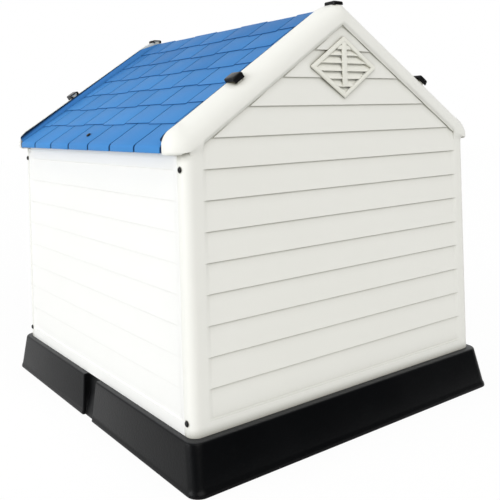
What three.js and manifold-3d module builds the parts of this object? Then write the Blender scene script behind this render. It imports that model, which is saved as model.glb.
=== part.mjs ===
// Flat-packed plastic dog house: a black drafted base tray, four lap-sided white wall
// panels, two blue shingled roof panels, diamond louvre vents, screws and sliding
// roof latches. Millimetres, +Z up. The doorway faces -Y, the plain gable faces +Y.
import * as THREE from 'three';
import { mergeVertices } from 'three/addons/utils/BufferGeometryUtils.js';
import Module from 'manifold-3d';

const wasm = await Module();
wasm.setup();

// ---- driving sizes -------------------------------------------------------------

const fitGap = 0.3;            // clearance between pieces that touch
const cutPast = 1;             // how far a cut runs beyond the face that it opens

// base tray
const baseLedgeSide = 18;      // foot lip outside the side panels
const baseLedgeEnd = 29;       // foot lip outside the gable panels
const baseHeight = 69.5;       // ground to the ledge that the walls stand on
const baseSkin = 3;
const footLipHeight = 6;
const footLipOut = 3.5;
const footLipLean = 1;
const sideDraft = 5;           // how far the long skirts lean in, foot to ledge
const endDraft = 13.5;         // how far the end skirts lean in
const baseCorner = 20;         // plan radius of the skirt's corners
const upstandHeight = 8;       // locating wall that stands inside the panels
const upstandSkin = 4;
const baseRibDepth = 30;       // stiffening ribs under the floor
const baseRibSkin = 3;
const baseRibsAcross = 1;      // ribs that run along X
const baseRibsAlong = 1;       // ribs that run along Y
const notchTopWidth = 50;      // hand notch in the middle of each long skirt
const notchFootWidth = 36;
const notchDepth = 13;

// wall panels
const wallWidth = 626;         // X, over the side panels
const wallLength = 662;        // Y, over the gable panels
const panelSkin = 3;
const wallCorner = 16;         // plan radius where a gable panel turns the corner
const flangeLength = 21.5;     // gable panel's return along the side of the house
const flangeSkin = 5;
const flangeFillet = 6;        // inside the corner, between gable and return
const cornerPostWidth = 33;    // plain band beside the siding
const plinthHeight = 19.5;     // plain band below the first board
const boardPitch = 45;         // height of one lap-siding board
const boardProud = 0.4;        // board's lower edge below the face of the posts
const boardLap = 2.8;          // how far each board leans back to its upper edge
const plinthBevel = 2;
const tongueSkin = 6;          // side panel's edge behind the gable flange
const tongueLength = 11.2;
const tongueTopDrop = 12;      // tongue stops this far under the rim end
const sideEdgeBand = 9;        // plain band at the ends of the side siding

// gable rim: the rounded trim that the gable panel carries along the roof's edge
const rimProud = 12;           // above the roof surface
const rimRadius = 34;
const rimOverhang = 4;         // in front of the gable face
const rimFoot = 6.2;           // straight part below the round, down to the groove
const rimSkin = 4;
const rimFootBevel = 1.2;
const rimRoot = 6;             // rim's inner root, laid down behind the boards
const rimEndRadius = 30;       // plan radius of the rim's lower ends
const rimEndDrop = 16;         // underside of the rim's ends below the roof's fold
const shelfLength = 14;        // ledge inside the rim that the roof panel lies on
const shelfSkin = 4;
const apexLift = 1;            // flat at the rim's apex above the roof ridge
const lipClearance = 1;        // between the shelf's end and the roof's eave lip

// roof panels
const eaveOverhang = 17;       // eave fold outside the side panels
const roofRise = 219.5;        // eave fold to ridge
const eaveHeight = 486.5;      // height of the fold between slope and eave lip
const roofSkin = 4;
const eaveLipOut = 3;
const eaveLipDrop = 12.5;
const eaveLipSkin = 2.8;
const eaveLipFillet = 1;       // inside the fold
const courseCount = 7;
const tilesPerCourse = 7;
const tileButt = 1.4;          // thickness of a shingle's lower edge
const tileGroove = 1.6;        // width of the gap between two shingles
const tileGrooveDepth = 1.2;
const edgeFlangeSkin = 3.2;    // roof panel's upturned edge beside the rim
const edgeFlangeDrop = 0.5;    // its top below the top of the rim

// diamond vents
const ventHalfWidth = 75;
const ventHalfHeight = 51.5;
const ventDrop = 104.5;        // centre below the ridge
const ventFrame = 7.5;
const ventProud = 3.5;         // frame's face in front of the gable face
const ventSpigot = 5;          // spigot's step inside the frame's outline
const ventFlange = 2.5;
const ventDepth = 9;           // spigot behind the gable face
const ventBar = 11;
const ventBarSkin = 2.4;
const ventBarInset = 0.6;      // bar's face behind the frame's face
const louvrePitch = 13;
const louvreSkin = 2.2;
const louvreInset = 1.5;       // blade's edge behind the frame's face
const louvreRoot = 1;          // blade's ends inside the frame
const louvreRise = 9.5;
const louvreCount = 7;

// doorway
const doorWidth = 290;
const doorHeight = 345;        // sill to the top of the arch
const doorSill = 6;            // sill above the first siding line
const doorFrame = 22;
const doorFrameProud = 3;

// latches
const latchLength = 24.6;      // along Y
const latchWidth = 20.6;
const latchHeight = 6.4;
const latchSkin = 2.5;
const latchEndDrop = 4;        // outer end wall reaches this far below the sides
const latchBevel = 1.2;
const latchLap = 2.2;          // over the roof panel's edge
const latchRide = 0.4;         // latch above the top of the rim
const latchPlace = 202.5;      // X of the two latches halfway down the slopes
const railNeckWidth = 10;
const railNeckHeight = 2.6;
const railHeadHeight = 1.8;
const railRoot = 2;            // into the rim, below the roof surface
const railInset = 2;           // rail's inner end from the rim's inner face

// screws
const screwHead = 8.5;
const screwHeadHeight = 2.4;
const screwHeadEdge = 1.2;     // straight part of the head's side
const screwHeadBevel = 1.1;
const screwShank = 4;
const screwLength = 13;
const screwTip = 3;            // taper at the end of the shank
const screwPoint = 0.6;        // radius of the flat at the very tip
const screwHole = 4.8;
const screwSeatDepth = 0.6;    // spot face in the gable's flange
const screwSeatRoom = 1;       // spot face around the head
const screwInset = 7;          // from the end of the gable's flange
const screwEaveDrop = 36.5;    // upper corner screws below the eave fold
const roofScrewInset = 19;     // from the eave fold, along X
const screwBoss = 16;          // boss on the side panel for the roof screw
const screwBossDepth = 26;
const facets = 12;             // sides of the screws

// ---- sizes that follow ---------------------------------------------------------

const baseFootWidth = wallWidth + 2 * baseLedgeSide;
const baseFootLength = wallLength + 2 * baseLedgeEnd;
const roofRun = wallWidth / 2 + eaveOverhang;
const ridgeHeight = eaveHeight + roofRise;
const ventHeight = ridgeHeight - ventDrop;
const screwHigh = eaveHeight - screwEaveDrop;
const slope = Math.atan2(ridgeHeight - eaveHeight, roofRun);
const slopeCos = Math.cos(slope);
const slopeSin = Math.sin(slope);
const slopeLength = roofRun / slopeCos;
const sideFace = wallWidth / 2;
const gableFace = wallLength / 2;
const wallFoot = baseHeight + fitGap;
const boardFace = gableFace - boardProud;
const firstLine = baseHeight + plinthHeight;
const screwLow = firstLine;            // the lower corner screws
const rimFront = gableFace + rimOverhang;
const rimInner = rimFront - rimRadius;
const rimEnd = roofRun + eaveLipOut;
const rimBottom = rimRadius - rimProud + rimFoot;      // below the roof surface
const rimEndFoot = eaveHeight - rimEndDrop;
const gableInner = gableFace - boardProud - boardLap - panelSkin;
const sideInner = sideFace - boardProud - boardLap - panelSkin;
const flangeEnd = gableFace - flangeLength;
const fieldEdge = sideFace - cornerPostWidth;
const roofBed = roofSkin + fitGap;                     // below the roof surface
const apexTop = ridgeHeight + apexLift;
const tongueDepth = flangeSkin + fitGap + tongueSkin;  // inner face behind the side
const farAway = 2 * baseFootLength;                    // past everything

// ---- solids --------------------------------------------------------------------

function solidOf(geometry) {
  const bare = geometry.clone();
  bare.deleteAttribute('normal');
  bare.deleteAttribute('uv');
  const merged = mergeVertices(bare, 1e-4);
  return new wasm.Manifold(new wasm.Mesh({
    numProp: 3,
    vertProperties: new Float32Array(merged.attributes.position.array),
    triVerts: new Uint32Array(merged.index.array),
  }));
}

function joined(solids) {
  return solids.reduce((sum, next) => sum.add(next));
}

function geometryOf(solid) {
  const found = solid.getMesh();
  const geometry = new THREE.BufferGeometry();
  geometry.setAttribute('position', new THREE.BufferAttribute(new Float32Array(found.vertProperties), 3));
  geometry.setIndex(new THREE.BufferAttribute(new Uint32Array(found.triVerts), 1));
  geometry.computeVertexNormals();
  return geometry;
}

function block(x0, x1, y0, y1, z0, z1) {
  const geometry = new THREE.BoxGeometry(x1 - x0, y1 - y0, z1 - z0);
  geometry.translate((x0 + x1) / 2, (y0 + y1) / 2, (z0 + z1) / 2);
  return solidOf(geometry);
}

function shapeOf(points) {
  return new THREE.Shape(points.map(([a, b]) => new THREE.Vector2(a, b)));
}

// Extrudes an outline: its first coordinate runs along `across`, its second along
// `up`, and the body grows from `start` by `depth` along across x up.
function extruded(shape, depth, across, up, start, curveSegments = 12) {
  const geometry = new THREE.ExtrudeGeometry(shape, { depth, bevelEnabled: false, curveSegments });
  const grow = new THREE.Vector3().crossVectors(across, up);
  const place = new THREE.Matrix4().makeBasis(across, up, grow).setPosition(start);
  return solidOf(geometry.applyMatrix4(place));
}

const axisX = new THREE.Vector3(1, 0, 0);
const axisY = new THREE.Vector3(0, 1, 0);
const axisZ = new THREE.Vector3(0, 0, 1);

const alongX = (shape, x0, x1) =>
  extruded(shape, x1 - x0, axisY, axisZ, new THREE.Vector3(x0, 0, 0));
const alongY = (shape, y0, y1) =>
  extruded(shape, y1 - y0, axisX, axisZ, new THREE.Vector3(0, y1, 0));
const alongZ = (shape, z0, z1) =>
  extruded(shape, z1 - z0, axisX, axisY, new THREE.Vector3(0, 0, z0));

// The roof surface on one side of the ridge: `side` is 1 for +X and -1 for -X.
function roofAxes(side) {
  return {
    down: new THREE.Vector3(side * slopeCos, 0, -slopeSin),
    out: new THREE.Vector3(side * slopeSin, 0, slopeCos),
    ridge: new THREE.Vector3(0, 0, ridgeHeight),
  };
}

// A section in (Y, height over the roof surface) drawn down the slope.
function downSlope(side, shape, from, to) {
  const { down, out, ridge } = roofAxes(side);
  const start = ridge.clone().addScaledVector(down, side > 0 ? from : to);
  return extruded(shape, to - from, axisY, out, start);
}

// A section in (distance down the slope, height over the roof) drawn along Y.
function acrossSlope(side, shape, y0, y1) {
  const { down, out, ridge } = roofAxes(side);
  return extruded(shape, y1 - y0, down, out, ridge.setY(side > 0 ? y1 : y0));
}

function roundedRect(halfX, halfY, radius) {
  const shape = new THREE.Shape();
  shape.moveTo(halfX, -halfY + radius);
  shape.absarc(halfX - radius, halfY - radius, radius, 0, Math.PI / 2);
  shape.absarc(-halfX + radius, halfY - radius, radius, Math.PI / 2, Math.PI);
  shape.absarc(-halfX + radius, -halfY + radius, radius, Math.PI, Math.PI * 1.5);
  shape.absarc(halfX - radius, -halfY + radius, radius, Math.PI * 1.5, Math.PI * 2);
  return shape;
}

// A rounded rectangle that leans in by `leanX` and `leanY` from z0 up to z1.
function draftedBlock(halfX, halfY, radius, leanX, leanY, z0, z1) {
  const geometry = new THREE.ExtrudeGeometry(roundedRect(halfX, halfY, radius),
    { depth: z1 - z0, bevelEnabled: false, curveSegments: 6 });
  const position = geometry.attributes.position;
  for (let i = 0; i < position.count; i += 1) {
    const share = position.getZ(i) / (z1 - z0);
    position.setX(i, position.getX(i) - Math.sign(position.getX(i)) * leanX * share);
    position.setY(i, position.getY(i) - Math.sign(position.getY(i)) * leanY * share);
  }
  return solidOf(geometry.translate(0, 0, z0));
}

// Everything under the two roof slopes, `depth` below the roof surface.
function underRoof(depth) {
  const top = ridgeHeight - depth / slopeCos;
  const fall = farAway * slopeSin / slopeCos;
  return alongY(shapeOf([[-farAway, -farAway], [farAway, -farAway],
    [farAway, top - fall], [0, top], [-farAway, top - fall]]), -farAway, farAway);
}

// ---- materials -----------------------------------------------------------------

const plastic = (color, roughness) => new THREE.MeshStandardMaterial({ color, roughness, metalness: 0 });
const whitePlastic = () => plastic('#f4f4ee', 0.45);
const creamPlastic = () => plastic('#f1eedd', 0.5);
const bluePlastic = () => plastic('#4f8cc8', 0.5);
const basePlastic = () => plastic('#1d1e20', 0.6);
const latchPlastic = () => plastic('#141416', 0.3);
const screwSteel = () =>
  new THREE.MeshStandardMaterial({ color: '#1a1a1c', roughness: 0.35, metalness: 0.8 });

const house = new THREE.Group();

function addNode(name, solid, material, parent = house) {
  const node = new THREE.Mesh(geometryOf(solid), material);
  node.name = name;
  parent.add(node);
  return node;
}

// ---- base tray -----------------------------------------------------------------

function baseTray() {
  const footX = baseFootWidth / 2 - footLipOut;
  const footY = baseFootLength / 2 - footLipOut;
  const underside = baseHeight - baseSkin;
  const lip = draftedBlock(baseFootWidth / 2, baseFootLength / 2, baseCorner, footLipLean, footLipLean,
    0, footLipHeight);
  let tray = draftedBlock(footX, footY, baseCorner, sideDraft, endDraft, 0, baseHeight).add(lip);

  const skinX = footX - baseSkin;
  const skinY = footY - baseSkin;
  let hollow = draftedBlock(skinX, skinY, baseCorner - baseSkin,
    sideDraft, endDraft, -cutPast, underside);
  const notches = [];
  for (const side of [1, -1]) {
    const face = footX - sideDraft;
    const back = side * (face - notchDepth);
    const outline = shapeOf([[-notchFootWidth / 2, -cutPast], [notchFootWidth / 2, -cutPast],
      [notchTopWidth / 2, baseHeight + cutPast], [-notchTopWidth / 2, baseHeight + cutPast]]);
    const far = side * baseFootWidth;
    notches.push(alongX(outline, Math.min(back, far), Math.max(back, far)));
    const skinBack = back - side * baseSkin;
    const halfSkin = notchTopWidth / 2 + baseSkin;
    hollow = hollow.subtract(block(Math.min(skinBack, far), Math.max(skinBack, far),
      -halfSkin, halfSkin, -2 * cutPast, baseHeight));
  }
  const ribs = [];
  const halfRib = baseRibSkin / 2;
  const ribFoot = underside - baseRibDepth;
  for (let i = 0; i < baseRibsAcross; i += 1) {
    const y = (i - (baseRibsAcross - 1) / 2) * skinY * 2 / (baseRibsAcross + 1);
    ribs.push(block(-baseFootWidth, baseFootWidth, y - halfRib, y + halfRib, ribFoot, baseHeight));
  }
  for (let i = 0; i < baseRibsAlong; i += 1) {
    const x = (i - (baseRibsAlong - 1) / 2) * skinX * 2 / (baseRibsAlong + 1);
    ribs.push(block(x - halfRib, x + halfRib, -baseFootLength, baseFootLength, ribFoot, baseHeight));
  }
  tray = tray.subtract(hollow.subtract(joined(ribs))).subtract(joined(notches));

  const upX = sideFace - tongueDepth - fitGap;
  const upY = gableInner - fitGap;
  const upstand = block(-upX, upX, -upY, upY, underside, baseHeight + upstandHeight)
    .subtract(block(-upX + upstandSkin, upX - upstandSkin, -upY + upstandSkin, upY - upstandSkin,
      baseHeight, baseHeight + 2 * upstandHeight));
  return tray.add(upstand);
}

addNode('base_tray', baseTray(), basePlastic());

// ---- gable panels (built at +Y; the front one is turned round) --------------------

// The saw-toothed room in front of a panel's boards, from the first line upwards.
function boardRoom(face, top) {
  const points = [[face + cutPast, firstLine - plinthBevel], [face, firstLine - plinthBevel]];
  let line = firstLine;
  points.push([face - boardProud, line]);
  while (line < top) {
    const next = Math.min(line + boardPitch, top);
    const lean = boardLap * (next - line) / boardPitch;
    points.push([face - boardProud - lean, next]);
    if (next < top) {
      points.push([face - boardProud, next]);
    }
    line = next;
  }
  points.push([face + cutPast, top]);
  return shapeOf(points);
}

function rimSection() {
  const shape = new THREE.Shape();
  const hollowRadius = rimRadius - rimSkin;
  const centre = rimProud - rimRadius;
  const foot = -rimBottom;
  const root = foot - rimRoot;
  const behindBoards = gableFace - boardProud - boardLap;
  const wallAngle = Math.acos(rimSkin / hollowRadius);
  shape.moveTo(rimInner, rimProud);
  shape.absarc(rimInner, centre, rimRadius, Math.PI / 2, 0, true);
  shape.lineTo(rimFront, foot + rimFootBevel);
  shape.lineTo(rimFront - rimFootBevel, foot);
  shape.lineTo(behindBoards, foot);
  shape.lineTo(behindBoards, root);
  shape.lineTo(gableInner, root);
  shape.lineTo(gableInner, foot + rimSkin / 2);
  shape.lineTo(rimInner + hollowRadius, foot + rimSkin * 1.5);
  shape.absarc(rimInner, centre, hollowRadius, 0, wallAngle, false);
  shape.lineTo(rimInner + rimSkin, -roofBed - shelfSkin);
  shape.lineTo(rimInner - shelfLength, -roofBed - shelfSkin);
  shape.lineTo(rimInner - shelfLength, -roofBed);
  shape.lineTo(rimInner, -roofBed);
  return shape;
}

// The rim's outer outline, filled.
function rimOutline() {
  const outline = new THREE.Shape();
  outline.moveTo(rimInner, rimProud);
  outline.absarc(rimInner, rimProud - rimRadius, rimRadius, Math.PI / 2, 0, true);
  outline.lineTo(rimFront, -rimBottom);
  outline.lineTo(rimFront - rimSkin, -rimBottom - 2 * rimEndDrop);
  outline.lineTo(rimInner, -rimBottom - 2 * rimEndDrop);
  return outline;
}

function gableRim() {
  const past = 2 * rimEndRadius;
  const end = rimEnd + past;
  const shellParts = [];
  const endParts = [];
  for (const side of [1, -1]) {
    const half = block(Math.min(0, side * end), Math.max(0, side * end), 0, farAway, 0, farAway);
    shellParts.push(downSlope(side, rimSection(), -past, slopeLength + past).intersect(half));
    // the flat under the ridge latch
    const apex = downSlope(side, rimOutline(), -past, past).intersect(half);
    shellParts.push(apex.intersect(block(-past, past, rimInner, rimFront, apexTop - rimSkin, apexTop)));
    // the closed end: one skin across the end and one along the overhang's underside
    const filled = downSlope(side, rimOutline(), slopeLength - 3 * past / 2, slopeLength + past);
    const inner = side * (rimEnd - rimSkin);
    const wallSide = side * (sideFace - flangeSkin);
    const cap = block(Math.min(inner, side * end), Math.max(inner, side * end),
      0, farAway, rimEndFoot, farAway);
    const sole = block(Math.min(wallSide, side * end), Math.max(wallSide, side * end),
      0, farAway, rimEndFoot, rimEndFoot + rimSkin);
    endParts.push(filled.intersect(cap.add(sole)));
  }
  const sidePanelRoom = sideFace + fitGap;
  const bounds = alongZ(roundedRect(rimEnd, rimFront, rimEndRadius), 0, apexTop)
    .subtract(block(-sidePanelRoom, sidePanelRoom, 0, flangeEnd, 0, rimEndFoot + rimSkin + cutPast))
    .subtract(block(sideFace - flangeSkin, farAway, 0, farAway, 0, rimEndFoot))
    .subtract(block(-farAway, -sideFace + flangeSkin, 0, farAway, 0, rimEndFoot));
  const lipRoom = roofRun - roofSkin - lipClearance;
  const shelfEnds = block(lipRoom, farAway, 0, rimInner, 0, farAway)
    .add(block(-farAway, -lipRoom, 0, rimInner, 0, farAway));
  return joined([...shellParts, ...endParts]).intersect(bounds).subtract(shelfEnds);
}

// T-shaped rail that a latch slides on: `across` is measured from the rail's middle.
function railShape(bottom, seat) {
  const neck = railNeckWidth / 2;
  const head = latchWidth / 2 - latchSkin - fitGap;
  const under = seat + railNeckHeight;
  const top = under + railHeadHeight;
  return shapeOf([[-neck, bottom], [neck, bottom], [neck, under], [head, under],
    [head, top], [-head, top], [-head, under], [-neck, under]]);
}

const railStart = rimInner + railInset;
const railEnd = rimInner - latchLap + latchLength - latchSkin - fitGap;

function latchRails() {
  const rails = [alongY(railShape(apexTop - rimSkin, apexTop), railStart, railEnd)];
  for (const side of [1, -1]) {
    const shape = railShape(-railRoot, rimProud);
    const { down, out, ridge } = roofAxes(side);
    const start = ridge.addScaledVector(down, latchPlace / slopeCos).setY(side > 0 ? railEnd : railStart);
    rails.push(extruded(shape, railEnd - railStart, down, out, start));
  }
  return joined(rails);
}

// A drill for a screw's shank, standing along Y through the origin.
function screwDrill() {
  return new THREE.CylinderGeometry(screwHole / 2, screwHole / 2, 4 * screwLength, facets);
}

// The two corner holes of one end, through the side of the house at `side` and `end`.
function cornerHoles(side, end) {
  const y = end * (flangeEnd + screwInset);
  return joined([screwLow, screwHigh].map((z) =>
    solidOf(screwDrill().rotateZ(Math.PI / 2).translate(side * sideFace, y, z))));
}

// Spot faces for the heads of the corner screws, cut into the gable's flange.
function screwSeats(side) {
  const radius = screwHead / 2 + screwSeatRoom;
  const middle = side * (sideFace - screwSeatDepth + screwLength / 2);
  return joined([screwLow, screwHigh].map((z) =>
    solidOf(new THREE.CylinderGeometry(radius, radius, screwLength, facets)
      .rotateZ(Math.PI / 2).translate(middle, flangeEnd + screwInset, z))));
}

function diamond(halfWidth, halfHeight) {
  return shapeOf([[halfWidth, ventHeight], [0, ventHeight + halfHeight],
    [-halfWidth, ventHeight], [0, ventHeight - halfHeight]]);
}

// Steps a diamond's outline in by the same distance on all four sides.
function steppedDiamond(step) {
  const sideLength = Math.hypot(ventHalfWidth, ventHalfHeight);
  return diamond(ventHalfWidth - step * sideLength / ventHalfHeight,
    ventHalfHeight - step * sideLength / ventHalfWidth);
}

// The doorway's outline with its round top, `margin` larger all round.
function doorOutline(margin) {
  const sill = firstLine + doorSill;
  const halfWidth = doorWidth / 2 + margin;
  const bottom = sill - margin;
  const spring = sill + doorHeight - doorWidth / 2;
  const shape = new THREE.Shape();
  shape.moveTo(halfWidth, bottom);
  shape.lineTo(halfWidth, spring);
  shape.absarc(0, spring, halfWidth, 0, Math.PI);
  shape.lineTo(-halfWidth, bottom);
  return shape;
}

function gablePanel(hasDoor) {
  const shell = roundedRect(sideFace, gableFace, wallCorner);
  const inside = alongZ(roundedRect(sideFace - flangeSkin, gableInner, flangeFillet), 0, farAway);
  const plate = alongZ(shell, wallFoot, ridgeHeight)
    .intersect(block(-sideFace, sideFace, flangeEnd, farAway, 0, farAway))
    .subtract(inside)
    .intersect(underRoof(rimBottom - rimSkin / 2));
  const grooveTop = ridgeHeight - rimBottom / slopeCos;
  const fieldShoulder = grooveTop - fieldEdge * slopeSin / slopeCos;
  const field = alongY(shapeOf([[-fieldEdge, 0], [fieldEdge, 0], [fieldEdge, fieldShoulder],
    [0, grooveTop], [-fieldEdge, fieldShoulder]]), 0, farAway);
  const room = alongX(boardRoom(gableFace, grooveTop), -fieldEdge, fieldEdge).intersect(field);
  let panel = plate.subtract(room).add(gableRim()).add(latchRails())
    .subtract(alongY(steppedDiamond(ventSpigot - fitGap), gableInner - cutPast, gableFace + cutPast));
  for (const side of [1, -1]) {
    panel = panel.subtract(cornerHoles(side, 1)).subtract(screwSeats(side));
  }
  if (hasDoor) {
    const frame = alongY(doorOutline(doorFrame), gableInner, gableFace + doorFrameProud);
    panel = panel.add(frame).subtract(alongY(doorOutline(0), 0, farAway));
  }
  return panel;
}

addNode('back_wall', gablePanel(false), whitePlastic());
addNode('front_wall', gablePanel(true), whitePlastic()).rotation.z = Math.PI;

// ---- side panels (built at +X) ----------------------------------------------------

function sidePanel() {
  const bed = underRoof(roofBed);
  const shelfUnder = underRoof(roofBed + shelfSkin + fitGap);
  const shelfStart = rimInner - shelfLength - fitGap;
  const outlineEnd = flangeEnd - fitGap;
  const skirtInner = sideFace - tongueDepth;
  let panel = block(sideInner, sideFace, -outlineEnd, outlineEnd, wallFoot, ridgeHeight);
  // thick foot rail and the two tongues behind the gable flanges
  panel = panel.add(block(skirtInner, sideFace, -outlineEnd, outlineEnd, wallFoot, firstLine));
  const tongueTop = rimEndFoot - tongueTopDrop;
  for (const end of [1, -1]) {
    const tip = end * (outlineEnd + tongueLength);
    const root = end * (outlineEnd - tongueLength);
    panel = panel.add(block(skirtInner, skirtInner + tongueSkin,
      Math.min(tip, root), Math.max(tip, root), wallFoot, tongueTop));
  }
  const boss = block(sideFace - screwBossDepth, sideFace - panelSkin, -screwBoss / 2, screwBoss / 2,
    eaveHeight - 2 * screwBoss, ridgeHeight);
  panel = panel.add(boss);
  const boards = boardRoom(sideFace, eaveHeight - boardPitch / 4);
  const room = alongY(boards, -outlineEnd + sideEdgeBand, outlineEnd - sideEdgeBand);
  const middle = block(0, farAway, -shelfStart, shelfStart, 0, farAway);
  const whole = panel.subtract(room);
  const trimmed = whole.intersect(bed).intersect(middle)
    .add(whole.intersect(shelfUnder));
  return trimmed.subtract(cornerHoles(1, 1)).subtract(cornerHoles(1, -1)).subtract(roofScrewHole());
}

// Hole for the eave screw of the +X side, square to the roof surface.
function roofScrewHole() {
  return solidOf(placeOnRoof(screwDrill(), 1, roofRun - roofScrewInset, 0, 0));
}

// Turns a geometry that stands along +Y onto the roof, `height` above its surface.
function placeOnRoof(geometry, side, x, y, height) {
  const { out } = roofAxes(side);
  const turn = new THREE.Quaternion().setFromUnitVectors(axisY, out);
  const spot = new THREE.Vector3(side * x, y, ridgeHeight - x * slopeSin / slopeCos)
    .addScaledVector(out, height);
  return geometry.applyMatrix4(new THREE.Matrix4().makeRotationFromQuaternion(turn).setPosition(spot));
}

addNode('side_wall_right', sidePanel(), whitePlastic());
addNode('side_wall_left', sidePanel(), whitePlastic()).rotation.z = Math.PI;

// ---- roof panels (built at +X) ----------------------------------------------------

function roofPanel() {
  const halfLength = rimInner - fitGap;
  const courseLength = slopeLength / courseCount;
  const past = 2 * rimSkin;
  // shingle courses: each one thickens towards its lower edge
  const section = [[-past, -roofSkin], [-past, -tileButt]];
  for (let course = 0; course < courseCount; course += 1) {
    section.push([course * courseLength, -tileButt], [(course + 1) * courseLength, 0]);
  }
  section.push([slopeLength, -roofSkin]);
  let panel = acrossSlope(1, shapeOf(section), -halfLength, halfLength);

  // eave lip, folded down past the side wall
  const lipFace = roofRun + eaveLipOut;
  const lipBack = lipFace - eaveLipSkin;
  const lipRoot = roofRun - roofSkin;
  const lip = shapeOf([[lipFace, eaveHeight - eaveLipDrop], [lipFace, eaveHeight - eaveLipOut],
    [roofRun, eaveHeight], [lipRoot, eaveHeight + eaveLipFillet],
    [lipRoot, eaveHeight - roofSkin - eaveLipFillet],
    [lipBack, eaveHeight - roofSkin - 3 * eaveLipFillet], [lipBack, eaveHeight - eaveLipDrop]]);
  panel = panel.add(alongY(lip, -halfLength, halfLength));

  // upturned edges beside the rims
  for (const end of [1, -1]) {
    const edge = shapeOf([[0, -roofSkin / 2], [slopeLength, -roofSkin / 2],
      [slopeLength, rimProud - edgeFlangeDrop], [0, rimProud - edgeFlangeDrop]]);
    const inner = end * (halfLength - edgeFlangeSkin);
    const outer = end * halfLength;
    panel = panel.add(acrossSlope(1, edge, Math.min(inner, outer), Math.max(inner, outer)));
  }

  // gaps between shingles, half a tile over in every other course
  const tile = 2 * rimInner / tilesPerCourse;
  const grooves = [];
  for (let course = 0; course < courseCount; course += 1) {
    const low = slopeLength - course * courseLength;
    const shift = course % 2 ? tile / 2 : 0;
    const gap = shapeOf([[low - courseLength, -tileGrooveDepth - tileButt / 2], [low, -tileGrooveDepth],
      [low, cutPast], [low - courseLength, cutPast]]);
    for (let y = -rimInner + tile - shift; y < rimInner - tile / 4; y += tile) {
      grooves.push(acrossSlope(1, gap, y - tileGroove / 2, y + tileGroove / 2));
    }
  }
  panel = panel.subtract(joined(grooves));
  const keep = block(fitGap / 2, lipFace, -farAway, farAway, 0, apexTop - edgeFlangeDrop / 2);
  return panel.intersect(keep).subtract(roofScrewHole());
}

addNode('roof_panel_right', roofPanel(), bluePlastic());
addNode('roof_panel_left', roofPanel(), bluePlastic()).rotation.z = Math.PI;

// ---- diamond vents (built at +Y) --------------------------------------------------

function ventInsert() {
  const front = gableFace + ventProud;
  const seat = boardFace + fitGap;
  const back = gableFace - ventDepth;
  const flange = alongY(steppedDiamond(0), seat, front);
  const spigot = alongY(steppedDiamond(ventSpigot), back, front - ventFlange / 2);
  const bore = alongY(steppedDiamond(ventFrame), back - cutPast, front + cutPast);
  const ring = flange.add(spigot).subtract(bore);
  const inside = alongY(steppedDiamond(ventFrame - louvreRoot), back, front - ventFlange / 2);
  const blades = [];
  for (let i = 0; i < louvreCount; i += 1) {
    const z = ventHeight + (i - louvreCount / 2) * louvrePitch;
    const blade = shapeOf([[front - louvreInset, z], [front - louvreInset, z + louvreSkin],
      [back, z + louvreSkin + louvreRise], [back, z + louvreRise]]);
    blades.push(alongX(blade, -ventHalfWidth, ventHalfWidth));
  }
  const barFace = front - ventBarInset;
  blades.push(block(-ventBar / 2, ventBar / 2, barFace - ventBarSkin, barFace,
    ventHeight - ventHalfHeight, ventHeight + ventHalfHeight));
  return ring.add(joined(blades).intersect(inside));
}

addNode('back_vent', ventInsert(), creamPlastic());
addNode('front_vent', ventInsert(), creamPlastic()).rotation.z = Math.PI;

// ---- latches (built at +Y, each sliding outwards along Y) --------------------------

// A latch in its own frame: X across, Y outwards from its inner end, Z up from the
// surface that it rides on. Its outer end wall reaches `endDrop` below that surface.
function latchSolid(endDrop) {
  const half = latchWidth / 2;
  const cavity = half - latchSkin;
  const neck = railNeckWidth / 2 + fitGap;
  const lipTop = railNeckHeight - latchRide - fitGap;
  const cavityTop = railNeckHeight + railHeadHeight - latchRide + fitGap;
  const endWall = latchLength - latchSkin;
  const shoulder = latchHeight - latchBevel;
  const outline = shapeOf([[-half, 0], [half, 0], [half, shoulder], [half - latchBevel, latchHeight],
    [-half + latchBevel, latchHeight], [-half, shoulder]]);
  let latch = alongY(outline, 0, latchLength);
  latch = latch.add(block(-half, half, endWall, latchLength, -endDrop, latchHeight / 2));
  latch = latch.subtract(block(-cavity, cavity, -cutPast, endWall, lipTop, cavityTop));
  latch = latch.subtract(block(-neck, neck, -cutPast, endWall, -cutPast, lipTop + cutPast));
  const farY = latchLength + cutPast;
  const farZ = latchHeight + cutPast;
  const bevelCut = 2 * latchBevel + cutPast;
  const endBevel = shapeOf([[farY, farZ - bevelCut], [farY, farZ], [farY - bevelCut, farZ]]);
  return latch.subtract(alongX(endBevel, -latchWidth, latchWidth));
}

const latchInner = rimInner - latchLap;
for (const [gable, turn] of [['back', 0], ['front', Math.PI]]) {
  const end = new THREE.Group();
  end.rotation.z = turn;
  house.add(end);
  const ridgeLatch = addNode(`${gable}_ridge_latch`, latchSolid(0), latchPlastic(), end);
  ridgeLatch.position.set(0, latchInner, apexTop + latchRide);
  for (const side of [1, -1]) {
    const hand = (turn ? -side : side) > 0 ? 'right' : 'left';
    const latch = addNode(`${gable}_${hand}_latch`, latchSolid(latchEndDrop), latchPlastic(), end);
    const { out } = roofAxes(side);
    latch.position.set(side * latchPlace, latchInner, ridgeHeight - latchPlace * slopeSin / slopeCos);
    latch.position.addScaledVector(out, rimProud + latchRide);
    latch.rotation.y = side * slope;
  }
}

// ---- screws -----------------------------------------------------------------------

// A pan-head screw that stands along +Y, with the underside of its head at 0.
function screwSolid() {
  const head = screwHead / 2;
  const shank = screwShank / 2;
  const tip = -screwLength;
  const profile = [[0, tip], [screwPoint, tip], [shank, tip + screwTip], [shank, 0],
    [head, 0], [head, screwHeadEdge], [head - screwHeadBevel, screwHeadHeight], [0, screwHeadHeight]];
  const points = profile.map(([x, y]) => new THREE.Vector2(x, y));
  return new THREE.LatheGeometry(points, facets);
}

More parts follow.
